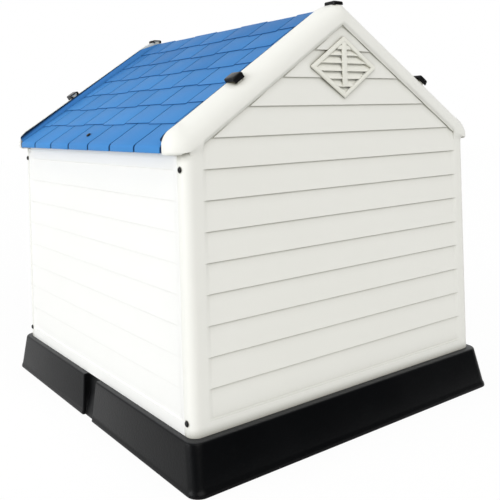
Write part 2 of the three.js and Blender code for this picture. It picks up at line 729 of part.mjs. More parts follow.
for (const [side, hand] of [[1, 'right'], [-1, 'left']]) {
  for (const [end, gable] of [[1, 'back'], [-1, 'front']]) {
    for (const [z, level] of [[screwLow, 'lower'], [screwHigh, 'upper']]) {
      const body = screwSolid().rotateZ(-side * Math.PI / 2);
      body.translate(side * (sideFace - screwSeatDepth + fitGap), end * (flangeEnd + screwInset), z);
      addNode(`${gable}_${hand}_${level}_screw`, solidOf(body), screwSteel());
    }
  }
  const roofScrew = placeOnRoof(screwSolid(), side, roofRun - roofScrewInset, 0, fitGap);
  addNode(`${hand}_roof_screw`, solidOf(roofScrew), screwSteel());
}

export default house;
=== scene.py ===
from math import atan2, copysign, cos, degrees, hypot, pi, radians, sin, sqrt, tan

import bmesh
import bpy
from mathutils import Matrix, Vector


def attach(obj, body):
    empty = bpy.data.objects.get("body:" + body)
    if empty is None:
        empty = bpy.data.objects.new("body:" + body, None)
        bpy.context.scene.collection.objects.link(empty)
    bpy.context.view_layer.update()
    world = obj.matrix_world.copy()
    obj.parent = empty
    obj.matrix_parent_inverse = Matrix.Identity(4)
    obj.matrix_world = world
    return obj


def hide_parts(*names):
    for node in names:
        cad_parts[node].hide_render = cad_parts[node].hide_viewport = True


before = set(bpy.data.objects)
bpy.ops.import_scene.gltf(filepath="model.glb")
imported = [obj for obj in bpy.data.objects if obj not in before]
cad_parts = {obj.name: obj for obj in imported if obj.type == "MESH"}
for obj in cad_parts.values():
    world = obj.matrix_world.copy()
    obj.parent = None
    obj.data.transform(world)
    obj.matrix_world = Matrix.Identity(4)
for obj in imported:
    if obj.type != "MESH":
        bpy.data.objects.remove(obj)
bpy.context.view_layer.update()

# ---- base tray -------------------------------------------------------------------------
# The black tray that the whole house stands on: one injection-moulded shell with leaning
# skirts, a low wall on top that locates the panels, crossed ribs underneath and a hand
# notch in the middle of each long skirt. Sizes are in millimetres.

LEDGE = 69.5
FOOT_HALF_X, FOOT_HALF_Y = 329.2, 359.4
SKIRT_LEAN_X, SKIRT_LEAN_Y = 6.7, 16.4
SKIRT_CORNER, TRAY_SKIN = 20.0, 3.0
LOCATOR_X, LOCATOR_Y, LOCATOR_TOP, LOCATOR_SKIN = 301.4, 324.5, 77.5, 4.0
NOTCH_DEPTH, NOTCH_TOP, NOTCH_FOOT, NOTCH_LIP = 13.0, 25.0, 18.0, 2.6


def in_scene(name, data):
    """A new object, linked to the scene."""
    made = bpy.data.objects.new(name, data)
    bpy.context.scene.collection.objects.link(made)
    return made


def evaluated(body, *helpers):
    """The plain mesh that an object's modifiers give. The object and its helpers go."""
    graph = bpy.context.evaluated_depsgraph_get()
    mesh = bpy.data.meshes.new_from_object(body.evaluated_get(graph))
    body.modifiers.clear()
    for item in (body, *helpers):
        bpy.data.objects.remove(item)
    return mesh


def cleaned(mesh):
    """Merges doubles, turns faces outwards and shades the soft edges smooth."""
    work = bmesh.new()
    work.from_mesh(mesh)
    bmesh.ops.remove_doubles(work, verts=work.verts, dist=0.000004)
    bmesh.ops.dissolve_degenerate(work, edges=work.edges, dist=0.000002)
    bmesh.ops.recalc_face_normals(work, faces=work.faces)
    work.to_mesh(mesh)
    work.free()
    mesh.shade_smooth()
    mesh.set_sharp_from_angle(angle=radians(32))
    return mesh


def ringed(rings, closed=False):
    """A mesh through rings of equally many points: capped at both ends, or closed on
    itself."""
    count = len(rings[0])
    points = [(x * 0.001, y * 0.001, z * 0.001) for ring in rings for x, y, z in ring]
    faces = []
    for i in range(len(rings) if closed else len(rings) - 1):
        here, there = i * count, (i + 1) % len(rings) * count
        for j in range(count):
            k = (j + 1) % count
            faces.append((here + j, here + k, there + k, there + j))
    if not closed:
        faces += [tuple(range(count)), tuple(range(len(points) - count, len(points)))]
    mesh = bpy.data.meshes.new("moulding")
    mesh.from_pydata(points, [], faces)
    return mesh


def lofted(rings, closed=False):
    return cleaned(ringed(rings, closed))


def prism(outline, place, low, high):
    """A solid of one outline; `place` turns an outline point and a depth into a point."""
    return lofted([[place(a, b, depth) for a, b in outline] for depth in (low, high)])


def block(x0, x1, y0, y1, z0, z1):
    return prism([(x0, y0), (x1, y0), (x1, y1), (x0, y1)], lambda x, y, z: (x, y, z), z0, z1)


def combined(mesh, operation, *others):
    """Joins (UNION), cuts (DIFFERENCE) or trims (INTERSECT) a solid with other solids."""
    body = in_scene("body", mesh)
    tools = [in_scene("tool", other) for other in others]
    for tool in tools:
        step = body.modifiers.new("step", "BOOLEAN")
        step.operation, step.solver, step.object = operation, "EXACT", tool
    return cleaned(evaluated(body, *tools))


def turned_round(mesh):
    """The same moulding at the other end or side of the house."""
    copy = mesh.copy()
    copy.transform(Matrix.Rotation(pi, 4, "Z"))
    return copy


def fitted(name, mesh, finish, slot, *nodes, body="house"):
    """Puts a finished piece in the scene in place of its CAD nodes."""
    piece = in_scene(name, mesh)
    if not mesh.materials:
        mesh.materials.append(finish)
    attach(piece, body)
    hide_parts(*nodes)


def operator(operation, turned=False):
    """A method that adds a Math node; `turned` puts the other value first."""
    def method(self, other):
        first, second = (other, self) if turned else (self, other)
        return self.tree.node("ShaderNodeMath", {"operation": operation}, {0: first, 1: second})
    return method


class Wire:
    """One output of a node. Arithmetic on it adds Math nodes to the same tree."""

    __add__, __radd__ = operator("ADD"), operator("ADD", turned=True)
    __sub__, __rsub__ = operator("SUBTRACT"), operator("SUBTRACT", turned=True)
    __mul__, __rmul__ = operator("MULTIPLY"), operator("MULTIPLY", turned=True)
    __truediv__, __rtruediv__ = operator("DIVIDE"), operator("DIVIDE", turned=True)
    __pow__ = operator("POWER")

    def __init__(self, tree, socket):
        self.tree = tree
        self.socket = socket

    def __getitem__(self, name):
        return Wire(self.tree, self.socket.node.outputs[name])

    def maths(self, operation, *others):
        """Any other Math node, with this value first."""
        return self.tree.node("ShaderNodeMath", {"operation": operation},
                              dict(enumerate((self, *others))))

    def held(self, low=0.0, high=1.0):
        """The value, kept between two limits."""
        return self.maths("MINIMUM", high).maths("MAXIMUM", low)

    def axis(self, name):
        """The X, Y or Z of a vector."""
        return self.tree.node("ShaderNodeSeparateXYZ", {}, {0: self})[name]


class Tree:
    """A node tree in the making."""

    def __init__(self, tree):
        self.tree = tree

    def node(self, kind, settings=None, sockets=None):
        made = self.tree.nodes.new(kind)
        for name, value in (settings or {}).items():
            setattr(made, name, value)
        for name, value in (sockets or {}).items():
            if isinstance(value, Wire):
                self.tree.links.new(value.socket, made.inputs[name])
            else:
                made.inputs[name].default_value = value
        shown = [socket for socket in made.outputs if socket.enabled]
        return Wire(self, shown[0]) if shown else made

    def mixed(self, factor, low, high):
        """A colour between two colours."""
        low, high = ((*end, 1.0) if isinstance(end, tuple) else end for end in (low, high))
        return self.node("ShaderNodeMix", {"data_type": "RGBA"}, {0: factor, 6: low, 7: high})

    def noise(self, place, scale, detail=2.0, roughness=0.5):
        return self.node("ShaderNodeTexNoise", {}, {
            "Vector": place, "Scale": scale, "Detail": detail, "Roughness": roughness})

    def xyz(self, x=0.0, y=0.0, z=0.0):
        return self.node("ShaderNodeCombineXYZ", {}, {"X": x, "Y": y, "Z": z})


def emptied(owner):
    """The cleared node tree of a material or a world."""
    owner.use_nodes = True
    owner.node_tree.nodes.clear()
    return Tree(owner.node_tree)


def moulded(name, colour, aged, worn, roughness, cloud=5.0, pebble=420.0, pebble_depth=0.00004,
            sag_depth=0.0, rub=0.5, gloss=0.5, tone_and_shade=None, crevice_shade=None, dust_and_sheen=None):
    """Moulded plastic: clouded colour, a pebbled skin, slow sag marks, rubbed edges and
    painted shade in crevices. The tone pair is (attribute, colour at 1), the crevice shade is
    (reach in metres, colour, strength), and flat tops turn to the dust-and-sheen colour: dust with
    a painted sheen."""
    material = bpy.data.materials.new(name)
    tree = emptied(material)
    place = tree.node("ShaderNodeTexCoord")["Object"]
    clouds = tree.noise(place, cloud, 4.0, 0.6)
    skin = tree.noise(place, pebble, 2.0, 0.6)
    fine = tree.noise(place, pebble * 2.7, 1.0, 0.5)
    bend = tree.node("ShaderNodeNewGeometry")["Pointiness"]
    edge = ((bend - 0.52) * 9.0).held() * (0.4 + skin * 0.9).held()
    base = tree.mixed(((clouds - 0.35) * 2.2).held(), colour, aged)
    if tone_and_shade:
        change = tree.node("ShaderNodeAttribute", {"attribute_name": tone_and_shade[0]})["Fac"]
        base = tree.mixed(change, base, tone_and_shade[1])
    base = tree.mixed(edge * rub, base, worn)
    # painted shade: the colour darkens by ambient occlusion where shade falls in crevices
    if crevice_shade:
        reach, dark, strength = crevice_shade
        air = tree.node("ShaderNodeAmbientOcclusion", {"samples": 12}, {"Distance": reach})["AO"]
        base = tree.mixed(((1.0 - air) * strength).held(), base, dark)
    # flat tops turn lighter: dust, and a painted sheen from the sky above
    if dust_and_sheen:
        lying = tree.node("ShaderNodeNewGeometry")["Normal"].axis("Z")
        dust_and_sheen_share = ((lying - 0.7) * 4.0).held() * (0.55 + skin * 0.7).held()
        base = tree.mixed(dust_and_sheen_share, base, dust_and_sheen)
    dull = (roughness + (clouds - 0.5) * 0.14 + (fine - 0.5) * 0.1 - edge * 0.06).held(0.05)
    bump = tree.node("ShaderNodeBump", {}, {
        "Strength": 1.0, "Distance": pebble_depth, "Height": skin * 0.7 + fine * 0.3})
    if sag_depth:
        sag = tree.noise(place, 9.0, 1.0, 0.4)
        bump = tree.node("ShaderNodeBump", {}, {
            "Strength": 1.0, "Distance": sag_depth, "Height": sag, "Normal": bump})
    plastic = tree.node("ShaderNodeBsdfPrincipled", {}, {
        "Base Color": base, "Roughness": dull, "Specular IOR Level": gloss, "Normal": bump})
    tree.node("ShaderNodeOutputMaterial", {}, {"Surface": plastic})
    return material


def arc(cx, cy, radius, start, end, steps):
    """Points on an arc, with the angles in degrees."""
    turns = [radians(start + (end - start) * i / steps) for i in range(steps + 1)]
    return [(cx + radius * cos(turn), cy + radius * sin(turn)) for turn in turns]


def corner_ring(half_x, half_y, radius, height):
    """A rounded rectangle at one height."""
    ring = []
    for start, sx, sy in [(0, 1, 1), (90, -1, 1), (180, -1, -1), (270, 1, -1)]:
        ring += arc(sx * (half_x - radius), sy * (half_y - radius), radius, start, start + 90, 8)
    return [(x, y, height) for x, y in ring]


def skirt_x(z):
    return FOOT_HALF_X - SKIRT_LEAN_X * z / LEDGE


def skirt_y(z):
    return FOOT_HALF_Y - SKIRT_LEAN_Y * z / LEDGE


def skirt_ring(level, out, corner, height):
    """A ring at `height` that stands `out` of the skirt's face at `level`."""
    return corner_ring(skirt_x(level) + out, skirt_y(level) + out, corner, height)


def notch_cutter(side):
    """The room of a hand notch: rounded lips, and a back that comes out towards the foot."""
    sections = [(8.0, NOTCH_LIP), (0.0, NOTCH_LIP)]
    sections += [(-NOTCH_LIP * (1 - cos(radians(a))), NOTCH_LIP * (1 - sin(radians(a))))
                 for a in (20, 40, 60, 75, 90)]
    sections += [(-NOTCH_DEPTH + 2.0, 0.0), (-NOTCH_DEPTH + 0.6, -0.6), (-NOTCH_DEPTH, -2.0)]
    shallow = 3.0
    rings = []
    for out, wide in sections:
        half = []
        for share in (-0.1, 0.25, 0.5, 0.75, 0.9, 1.1):
            depth = min(1.0, 0.03 + max(share, 0.0) * 1.9) if out < -shallow else 1.0
            x = skirt_x(LEDGE * share) + (out + shallow) * depth - shallow
            y = NOTCH_FOOT + (NOTCH_TOP - NOTCH_FOOT) * share + wide
            half.append((side * x, y, LEDGE * share))
        rings.append(half + [(x, -y, z) for x, y, z in reversed(half)])
    return lofted(rings)


def base_tray():
    rings = []
    # raised floor, locating wall, ledge
    floor_edge, top = -LOCATOR_SKIN, LOCATOR_TOP
    for out, height in [(floor_edge - 1.5, LEDGE), (floor_edge - 0.4, LEDGE + 0.4),
                        (floor_edge, LEDGE + 1.5), (floor_edge, top - 1.4),
                        (floor_edge + 0.4, top - 0.4), (floor_edge + 1.4, top), (-1.4, top),
                        (-0.4, top - 0.4), (0.0, top - 1.4), (0.0, LEDGE)]:
        rings.append(corner_ring(LOCATOR_X + out, LOCATOR_Y + out, 3.0, height))
    # rounded edge between ledge and skirt
    edge = 3.2
    for step in range(7):
        turn = radians(90 - 15 * step)
        inset, height = edge * (1 - cos(turn)), LEDGE - edge * (1 - sin(turn))
        rings.append(skirt_ring(height, -inset, SKIRT_CORNER - inset, height))
    for height in (58.0, 46.0, 34.0, 22.0, 12.0, 8.2):
        rings.append(skirt_ring(height, 0.0, SKIRT_CORNER, height))
    # the skirt's foot swells by a fraction of a millimetre
    for out, height in [(-0.5, 6.6), (-0.25, 5.8), (0.1, 4.9), (0.35, 3.6), (0.55, 2.0),
                        (0.6, 0.8), (0.2, 0.0)]:
        rings.append(skirt_ring(0, out, SKIRT_CORNER, height))
    # underside
    under = LEDGE - TRAY_SKIN
    for out, height in [(-1.9, 0.0), (-2.3, 0.5), (0.0, under - 2.5), (-0.8, under - 0.8),
                        (-2.6, under)]:
        rings.append(skirt_ring(height, out - TRAY_SKIN, SKIRT_CORNER - TRAY_SKIN, height))
    ribs = [block(-1.5, 1.5, -341.0, 341.0, 36.5, 68.0),
            block(-320.0, 320.0, -1.5, 1.5, 36.5, 68.0)]
    tray = combined(lofted(rings), "UNION", *ribs)
    # each hand notch: a pocket with its own skin, then its room
    pocket_back = skirt_x(LEDGE) - NOTCH_DEPTH - TRAY_SKIN
    outline = [(28.0, 0.15), (-28.0, 0.15), (-28.0, 68.4), (28.0, 68.4)]
    for side in (1, -1):
        pocket = lofted([[(side * pocket_back, y, z) for y, z in outline],
                         [(side * (skirt_x(z) - 1.4), y, z) for y, z in outline]])
        tray = combined(tray, "UNION", pocket)
        tray = combined(tray, "DIFFERENCE", notch_cutter(side))
    return tray


# The tray's crevices are darkened with painted shade, and its flat tops lightened with dust and a
# painted sheen.
black_plastic = moulded("black tray plastic", (0.0012, 0.0015, 0.0020), (0.0021, 0.0025, 0.0032),
                        (0.02, 0.021, 0.024), 0.37, cloud=7.0, pebble=260.0, pebble_depth=0.0003,
                        rub=0.3, gloss=0.12, crevice_shade=(0.022, (0.0003, 0.0003, 0.0004), 1.3),
                        dust_and_sheen=(0.042, 0.043, 0.045))
fitted("base_tray_moulding", base_tray(), black_plastic, "base_plastic", "base_tray")

# ---- gable panels ----------------------------------------------------------------------
# The two white end walls, blow-moulded: lap siding between plain corner posts that wrap
# round the corners, and along the slopes a fat rounded rim that holds the roof panels'
# edges. The front one has the arched doorway. Both are built at +Y in millimetres.

SIDE_FACE, GABLE_FACE = 313.0, 331.0
WALL_FOOT = LEDGE + 0.3
FIRST_LINE, BOARD_PITCH = 89.0, 45.0
BOARD_PROUD, BOARD_LAP, BOARD_EDGE = 0.4, 2.8, 1.1
RIDGE, ROOF_RUN, EAVE = 706.0, 330.0, 486.5
SLOPE = atan2(RIDGE - EAVE, ROOF_RUN)
TAN, COS = tan(SLOPE), cos(SLOPE)
GABLE_INNER, FIELD_EDGE, FLANGE_END = 324.8, 280.0, 309.5


def siding_heights(low, high):
    """Ring heights for siding: close together on each board's lower edge."""
    heights, line = [low, FIRST_LINE - 2.0], FIRST_LINE
    while line < high:
        heights += [line + rise for rise in (-0.01, 0.0, 0.12, 0.35, 0.7, 1.1, 2.2, 4.0, 8.0, 12.0,
                                             22.0, 38.0)]
        line += BOARD_PITCH
    return [height for height in heights if height < high] + [high]


def new_group(name, *inputs):
    """A Geometry Nodes tree and its inputs, which are given as kinds with their names."""
    group = bpy.data.node_groups.new(name, "GeometryNodeTree")
    for kind, labels in inputs:
        for label in labels:
            group.interface.new_socket(label, in_out="INPUT", socket_type="NodeSocket" + kind)
    group.interface.new_socket("Geometry", in_out="OUTPUT", socket_type="NodeSocketGeometry")
    tree = Tree(group)
    return tree, tree.node("NodeGroupInput")


def stored(tree, name, kind="FLOAT"):
    return tree.node("GeometryNodeInputNamedAttribute", {"data_type": kind}, {"Name": name})


def siding_tree():
    """Geometry Nodes tree that presses lap siding into a flat panel. Each vertex marked by
    the attribute "board" goes inwards along "inward" by the board's depth at its height."""
    tree, sizes = new_group("lap siding", ("Geometry", ["Geometry"]), (
        "Float", ["First Line", "Pitch", "Lap", "Proud", "Edge Radius", "Top"]))
    hair, band_edge, band_fade, band_step = 0.000004, 0.0022, 0.015, 0.0019
    height = tree.node("GeometryNodeInputPosition").axis("Z")
    over = height - sizes["First Line"] + hair
    share = (over / sizes["Pitch"]).maths("FRACT")
    rise = share * sizes["Pitch"]
    radius = sizes["Edge Radius"]
    short = (radius - rise).held()
    rounding = radius - (radius * radius - short * short).held().maths("SQRT")
    # the lowest board sits behind the plain foot band, whose top edge shows instead
    lowest = sizes["Pitch"].maths("GREATER_THAN", over)
    behind = (rise / band_edge).held() * (1.0 - (rise - band_edge) / band_fade).held() * band_step
    rounding = rounding + (behind - rounding) * lowest
    above = over.maths("GREATER_THAN", 0.0)
    below_top = sizes["Top"].maths("GREATER_THAN", height)
    depth = (sizes["Proud"] + sizes["Lap"] * share + rounding) * above * below_top
    offset = tree.node("ShaderNodeVectorMath", {"operation": "SCALE"}, {
        0: stored(tree, "inward", "FLOAT_VECTOR"), "Scale": depth * stored(tree, "board")})
    pressed = tree.node("GeometryNodeSetPosition", {}, {
        "Geometry": sizes["Geometry"], "Offset": offset})
    tree.node("NodeGroupOutput", {}, {"Geometry": pressed})
    return tree.tree


def grown(group, sizes, base=None):
    """Runs a Geometry Nodes tree and gives back the plain mesh."""
    holder = in_scene("holder", base or bpy.data.meshes.new("holder"))
    modifier = holder.modifiers.new("grow", "NODES")
    modifier.node_group = group
    for item in group.interface.items_tree:
        if item.in_out == "INPUT" and item.name in sizes:
            modifier[item.identifier] = sizes[item.name]
    return evaluated(holder)


siding = siding_tree()


def sided_slab(outer, inner, heights, marks, inward, top):
    """A wall slab of constant plan with siding pressed into the marked outer points."""
    rings = [[(x, y, z) for x, y in outer + inner] for z in heights]
    slab = ringed(rings)
    board = slab.attributes.new("board", "FLOAT", "POINT")
    board.data.foreach_set("value", (marks + [0.0] * len(inner)) * len(rings))
    facing = slab.attributes.new("inward", "FLOAT_VECTOR", "POINT")
    facing.data.foreach_set("vector", list(inward) * len(slab.vertices))
    pressed = grown(siding, {
        "First Line": FIRST_LINE * 0.001, "Pitch": BOARD_PITCH * 0.001, "Lap": BOARD_LAP * 0.001,
        "Proud": BOARD_PROUD * 0.001, "Edge Radius": BOARD_EDGE * 0.001, "Top": top * 0.001}, slab)
    for name in ("board", "inward"):
        pressed.attributes.remove(pressed.attributes[name])
    return cleaned(pressed)


def eased(share):
    share = min(max(share, 0.0), 1.0)
    return share * share * (3 - 2 * share)


def mirrored(points):
    """The points of the other half, from last to first."""
    return [(-x, *rest) for x, *rest in reversed(points)]


def upright(outline, y0, y1):
    """A solid of an outline in (X, height) that runs along Y."""
    return prism(outline, lambda x, z, y: (x, y, z), y0, y1)


def gable_slab():
    corner, wall, fillet, fade = 16.0, 5.0, 6.0, 5.0
    across = [-FIELD_EDGE + shift for shift in (-fade, -3.0, -1.5, 0.0, 1.5, 3.0, fade)]
    fronts = sorted(across + [-x for x in across] + [25.0 * i for i in range(-11, 12)])
    turn = [(SIDE_FACE - 0.5, FLANGE_END), (SIDE_FACE, FLANGE_END + 0.5)]
    turn += arc(SIDE_FACE - corner, GABLE_FACE - corner, corner, 0, 90, 10)
    outer = turn + [(x, GABLE_FACE) for x in reversed(fronts)] + mirrored(turn)
    plain = [0.0] * len(turn)
    marks = [eased((FIELD_EDGE + fade - abs(x)) / (2 * fade)) for x in reversed(fronts)]
    marks = plain + marks + plain
    inner = [(SIDE_FACE - wall, FLANGE_END)]
    inner += arc(SIDE_FACE - wall - fillet, GABLE_INNER - fillet, fillet, 0, 90, 6)
    inner = mirrored(inner[::-1]) + inner[::-1]
    slab = sided_slab(outer, inner, siding_heights(WALL_FOOT, RIDGE), marks, (0.0, -1.0, 0.0),
                      700.0)
    # everything above the rim's foot goes
    peak, shoulder = RIDGE - 26.2 / COS, 474.0
    half = [((peak - shoulder) / TAN, shoulder), (400, shoulder), (400, 900)]
    return combined(slab, "DIFFERENCE", upright([(0, peak), *half, *mirrored(half)], 200, 400))


RIM_INNER, RIM_ROUND, RIM_PROUD, RIM_FOOT, RIM_TUCK = 301.0, 34.0, 12.0, 40.2, 4.05
RIM_PIVOT_X, RIM_PIVOT_Y, RIM_PIVOT_REACH, RIM_END_FOOT = 303.0, 305.0, 30.0, 470.5
RIM_BACK = [(0.0, 20.3 / COS), (0.0, 3.0), (0.15, 0.9), (0.5, 0.35)]
QUARTER_TURN = [radians(5 * step) for step in range(1, 19)]
APEX = 707.0


def rim_top(x):
    """Height of the rim's flat top, softly rounded at the ridge."""
    return RIDGE + RIM_PROUD / COS - TAN * sqrt(x * x + 9.0)


def rim_section(x):
    """The rim's outline where it runs straight down the slope, as (Y, height)."""
    top = rim_top(x)
    points = [(RIM_INNER + out, top - drop) for out, drop in RIM_BACK]
    points += [(RIM_INNER + RIM_ROUND * sin(turn), top - RIM_ROUND * (1 - cos(turn)) / COS)
               for turn in QUARTER_TURN]
    # the foot reaches further down between the field and the corner post
    swell, fade = eased((abs(x) - FIELD_EDGE) / 3.0), eased((abs(x) - 286) / 17)
    reach = RIM_FOOT + 12.0 * swell * (1 - fade)
    for step in range(1, 7):
        share = step / 6
        drop = RIM_ROUND + (reach - RIM_ROUND) * share
        points.append((RIM_INNER + RIM_ROUND - RIM_TUCK * eased(share), top - drop / COS))
    foot = top - reach / COS
    points += [(GABLE_FACE - 0.7, foot - 0.35), (GABLE_FACE - 2.0, foot - 0.35),
               (GABLE_FACE - 5.0, foot - 0.2), (GABLE_INNER + 0.5, foot + 3.0),
               (GABLE_INNER + 0.5, top - 26.0 / COS)]
    return [(x, y, min(z, APEX)) for y, z in points]


def rim_end_section(angle, closing=False):
    """The rim's outline where it turns round the corner; 0 degrees faces +Y, 90 faces +X."""
    nx, ny = sin(radians(angle)), cos(radians(angle))
    blend = eased(angle / 90)
    outer_x, outer_y = RIM_PIVOT_X + RIM_PIVOT_REACH * nx, RIM_PIVOT_Y + RIM_PIVOT_REACH * ny
    start_x = RIM_PIVOT_X + blend * 18 * nx
    start_y = RIM_INNER + blend * (4 + 18 * ny)
    radius = RIM_ROUND + (12.5 - RIM_ROUND) * blend
    stretch = 1 / COS + (1 - 1 / COS) * blend
    top = rim_top(RIM_PIVOT_X)
    points = [(RIM_PIVOT_X, RIM_INNER + out, top - drop) for out, drop in RIM_BACK]
    for bend in QUARTER_TURN:
        x = start_x + (outer_x - start_x) * sin(bend)
        y = start_y + (outer_y - start_y) * sin(bend)
        points.append((x, y, rim_top(x) - radius * (1 - cos(bend)) * stretch))
    edge = points[-1][2]
    # within 10 degrees it changes from lying flush on the gable to standing free below
    heel = RIM_END_FOOT + 0.7 + 8.0 * max(0.0, 1 - angle / 32)
    soft = 5.0
    start = min(heel + soft, edge - 0.5)
    flush, loose = [], []
    for step in range(1, 7):
        share, bend = step / 6, radians(18 * (step - 1))
        flush.append((RIM_PIVOT_REACH - RIM_TUCK * eased(share),
                      edge - (edge - RIM_END_FOOT) * share))
        loose.append((RIM_PIVOT_REACH - soft * (1 - cos(bend)), start - (start - heel) * sin(bend)))
    flush += [(25.3, RIM_END_FOOT - 0.35), (24.0, RIM_END_FOOT - 0.35), (21.0, RIM_END_FOOT - 0.2),
              (20.3, RIM_END_FOOT + 3.0), (20.3, top - 26.0 / COS)]
    inside = 20.0 - 16.0 * blend
    loose += [(25.0 - (25.0 - inside) * share, heel) for share in (0.2, 0.5, 0.8, 1.0)]
    loose.append((inside, heel + 12.0))
    lump = eased(angle / 10)
    for (r0, z0), (r1, z1) in zip(flush, loose):
        out, z = r0 + (r1 - r0) * lump, z0 + (z1 - z0) * lump
        points.append((RIM_PIVOT_X + out * nx, RIM_PIVOT_Y + out * ny, z))
    if closing:
        points = points[:4] + [(x, RIM_INNER, z) for x, y, z in points[4:]]
    return points


def gable_rim():
    stations = [-2.5 * i for i in range(5)] + [-12.0 - 18.0 * i for i in range(15)]
    stations += [-FIELD_EDGE - 0.75 * i for i in range(5)] + [-290.0, -297.0]
    left = sorted(set(stations))
    straight = [rim_section(x) for x in left + [-x for x in reversed(left) if x < 0]]
    turn = [rim_end_section(angle) for angle in (0, 1.5, 3, 5, 7, 10, 13, 16, 20, 25, 31, 38, 46,
                                                 54, 62, 70, 78, 84, 90)]
    turn.append(rim_end_section(90, closing=True))
    other = [[(-x, y, z) for x, y, z in ring] for ring in reversed(turn)]
    return lofted(other + straight + turn)


def on_roof(along, over):
    """(X, height) on the right slope: `along` down from the ridge and `over` above it."""
    return (along * cos(SLOPE) + over * sin(SLOPE),
            RIDGE - along * sin(SLOPE) + over * cos(SLOPE))


def chevron(end, upper, lower, y0, y1):
    """A band that follows both slopes between two depths below the roof surface."""
    half = [(end, RIDGE - depth - TAN * end) for depth in (upper, lower)]
    return upright([(0, RIDGE - upper), *half, (0, RIDGE - lower), *mirrored(half)], y0, y1)


LATCH_X = 202.5
RAIL_START, RAIL_END = 301.6, 320.6


def rails():
    """T-rails on the rim, one at the ridge and one halfway down each slope."""
    def outline(middle, bottom, seat):
        half = [(5.0, bottom), (5.0, seat + 2.6), (7.5, seat + 2.6), (7.5, seat + 4.4)]
        return [(middle + x, z) for x, z in half + mirrored(half)]
    made = [upright(outline(0.0, APEX - 4.0, APEX), RAIL_START, RAIL_END)]
    for side in (1, -1):
        points = [on_roof(*point) for point in outline(LATCH_X / COS, -2.0, RIM_PROUD)]
        made.append(upright([(side * x, z) for x, z in points], RAIL_START, RAIL_END))
    return made


VENT_HALF_WIDTH, VENT_HALF_HEIGHT, VENT_HEIGHT = 75.0, 51.5, 601.5


def diamond(step):
    """The vent's outline, stepped in by the same distance on all four sides."""
    long = hypot(VENT_HALF_WIDTH, VENT_HALF_HEIGHT)
    wide = VENT_HALF_WIDTH - step * long / VENT_HALF_HEIGHT
    tall = VENT_HALF_HEIGHT - step * long / VENT_HALF_WIDTH
    return [(wide, VENT_HEIGHT), (0, VENT_HEIGHT + tall), (-wide, VENT_HEIGHT),
            (0, VENT_HEIGHT - tall)]


SCREW_HEIGHTS, SCREW_Y, SCREW_HEAD = (89.0, 450.0), 316.5, 4.25


def spot_faces():
    """Cutters for the shallow round seats of the corner screws."""
    made = []
    for side in (1, -1):
        for height in SCREW_HEIGHTS:
            ring = arc(0, 0, SCREW_HEAD + 1.0, 0, 337.5, 15)
            made.append(prism(ring, lambda y, z, x, h=height: (x, SCREW_Y + y, h + z),
                              side * (SIDE_FACE - 0.6), side * (SIDE_FACE + 4)))
    return made


DOOR_HALF, DOOR_SILL, DOOR_SPRING, DOOR_CORNER = 145.0, 95.0, 295.0, 4.0


def door_path(margin):
    """The doorway's outline with its round top, `margin` larger all round."""
    half, sill, corner = DOOR_HALF + margin, DOOR_SILL - margin, DOOR_CORNER + margin
    right = arc(half - corner, sill + corner, corner, -90, 0, 6)
    right += [(half, 150.0), (half, 220.0)]
    right += arc(0, DOOR_SPRING, half, 0, 90, 24)
    return right + mirrored(right[:-1])


def door_frame():
    """The rounded frame round the doorway."""
    section = [(0.0, 326.2), (0.0, 331.5), (0.35, 332.9), (1.2, 333.7), (2.6, 334.0), (18.6, 334.0),
               (20.4, 333.6), (21.5, 332.6), (22.0, 331.0), (22.0, 326.0), (1.6, 324.9),
               (0.8, 325.1), (0.2, 325.6)]
    paths = [door_path(margin) for margin, _ in section]
    rings = [[(path[i][0], y, path[i][1]) for path, (_, y) in zip(paths, section)]
             for i in range(len(paths[0]))]
    return lofted(rings, closed=True)


def gable_panel(has_door):
    # inside the rim runs the shelf that the roof panels lie on
    shelf = chevron(325.0, 4.3 / COS, 8.3 / COS, 287.0, 301.6)
    panel = combined(gable_slab(), "UNION", gable_rim(), shelf, *rails())
    # a narrow groove parts the rim's foot from the siding
    foot = (RIM_FOOT - RIM_PROUD - 0.3) / COS
    groove = chevron(FIELD_EDGE + 1.0, foot, foot + 3.0, 329.2, 345.0)
    panel = combined(panel, "DIFFERENCE", groove)
    panel = combined(panel, "DIFFERENCE", upright(diamond(4.7), 300.0, 345.0), *spot_faces())
    if has_door:
        panel = combined(panel, "DIFFERENCE", upright(door_path(1.4), 300.0, 345.0))
        panel = combined(panel, "UNION", door_frame())
    return panel


wall_skin = {"cloud": 3.0, "pebble": 700.0, "pebble_depth": 0.00003, "sag_depth": 0.0012,
             "rub": 0.3, "gloss": 0.35}
# The gables' white is a yellower, darker copy of the side panels' white, tinted as painted shade,
# and its crevices get an olive painted shade.
gable_white_shade_tinted = moulded("white wall plastic with painted shade tint", (0.87, 0.868, 0.825), (0.85, 0.848, 0.80),
                        (0.93, 0.93, 0.9), 0.46, crevice_shade=(0.014, (0.16, 0.15, 0.085), 1.15),
                        **wall_skin)
fitted("back_gable_moulding", gable_panel(False), gable_white_shade_tinted, "wall_plastic", "back_wall")
fitted("front_gable_moulding", turned_round(gable_panel(True)), gable_white_shade_tinted, "wall_plastic",
       "front_wall")

# ---- side panels -----------------------------------------------------------------------
# The two long white walls, moulded like the gables with the same lap siding, a thick foot
# rail inside and a tongue at each end that tucks behind the gable panel's return, where
# the corner screws hold it.

SIDE_INNER, TONGUE_BACK, PANEL_END = 306.8, 301.7, 309.2
ROOF_BED = 4.3


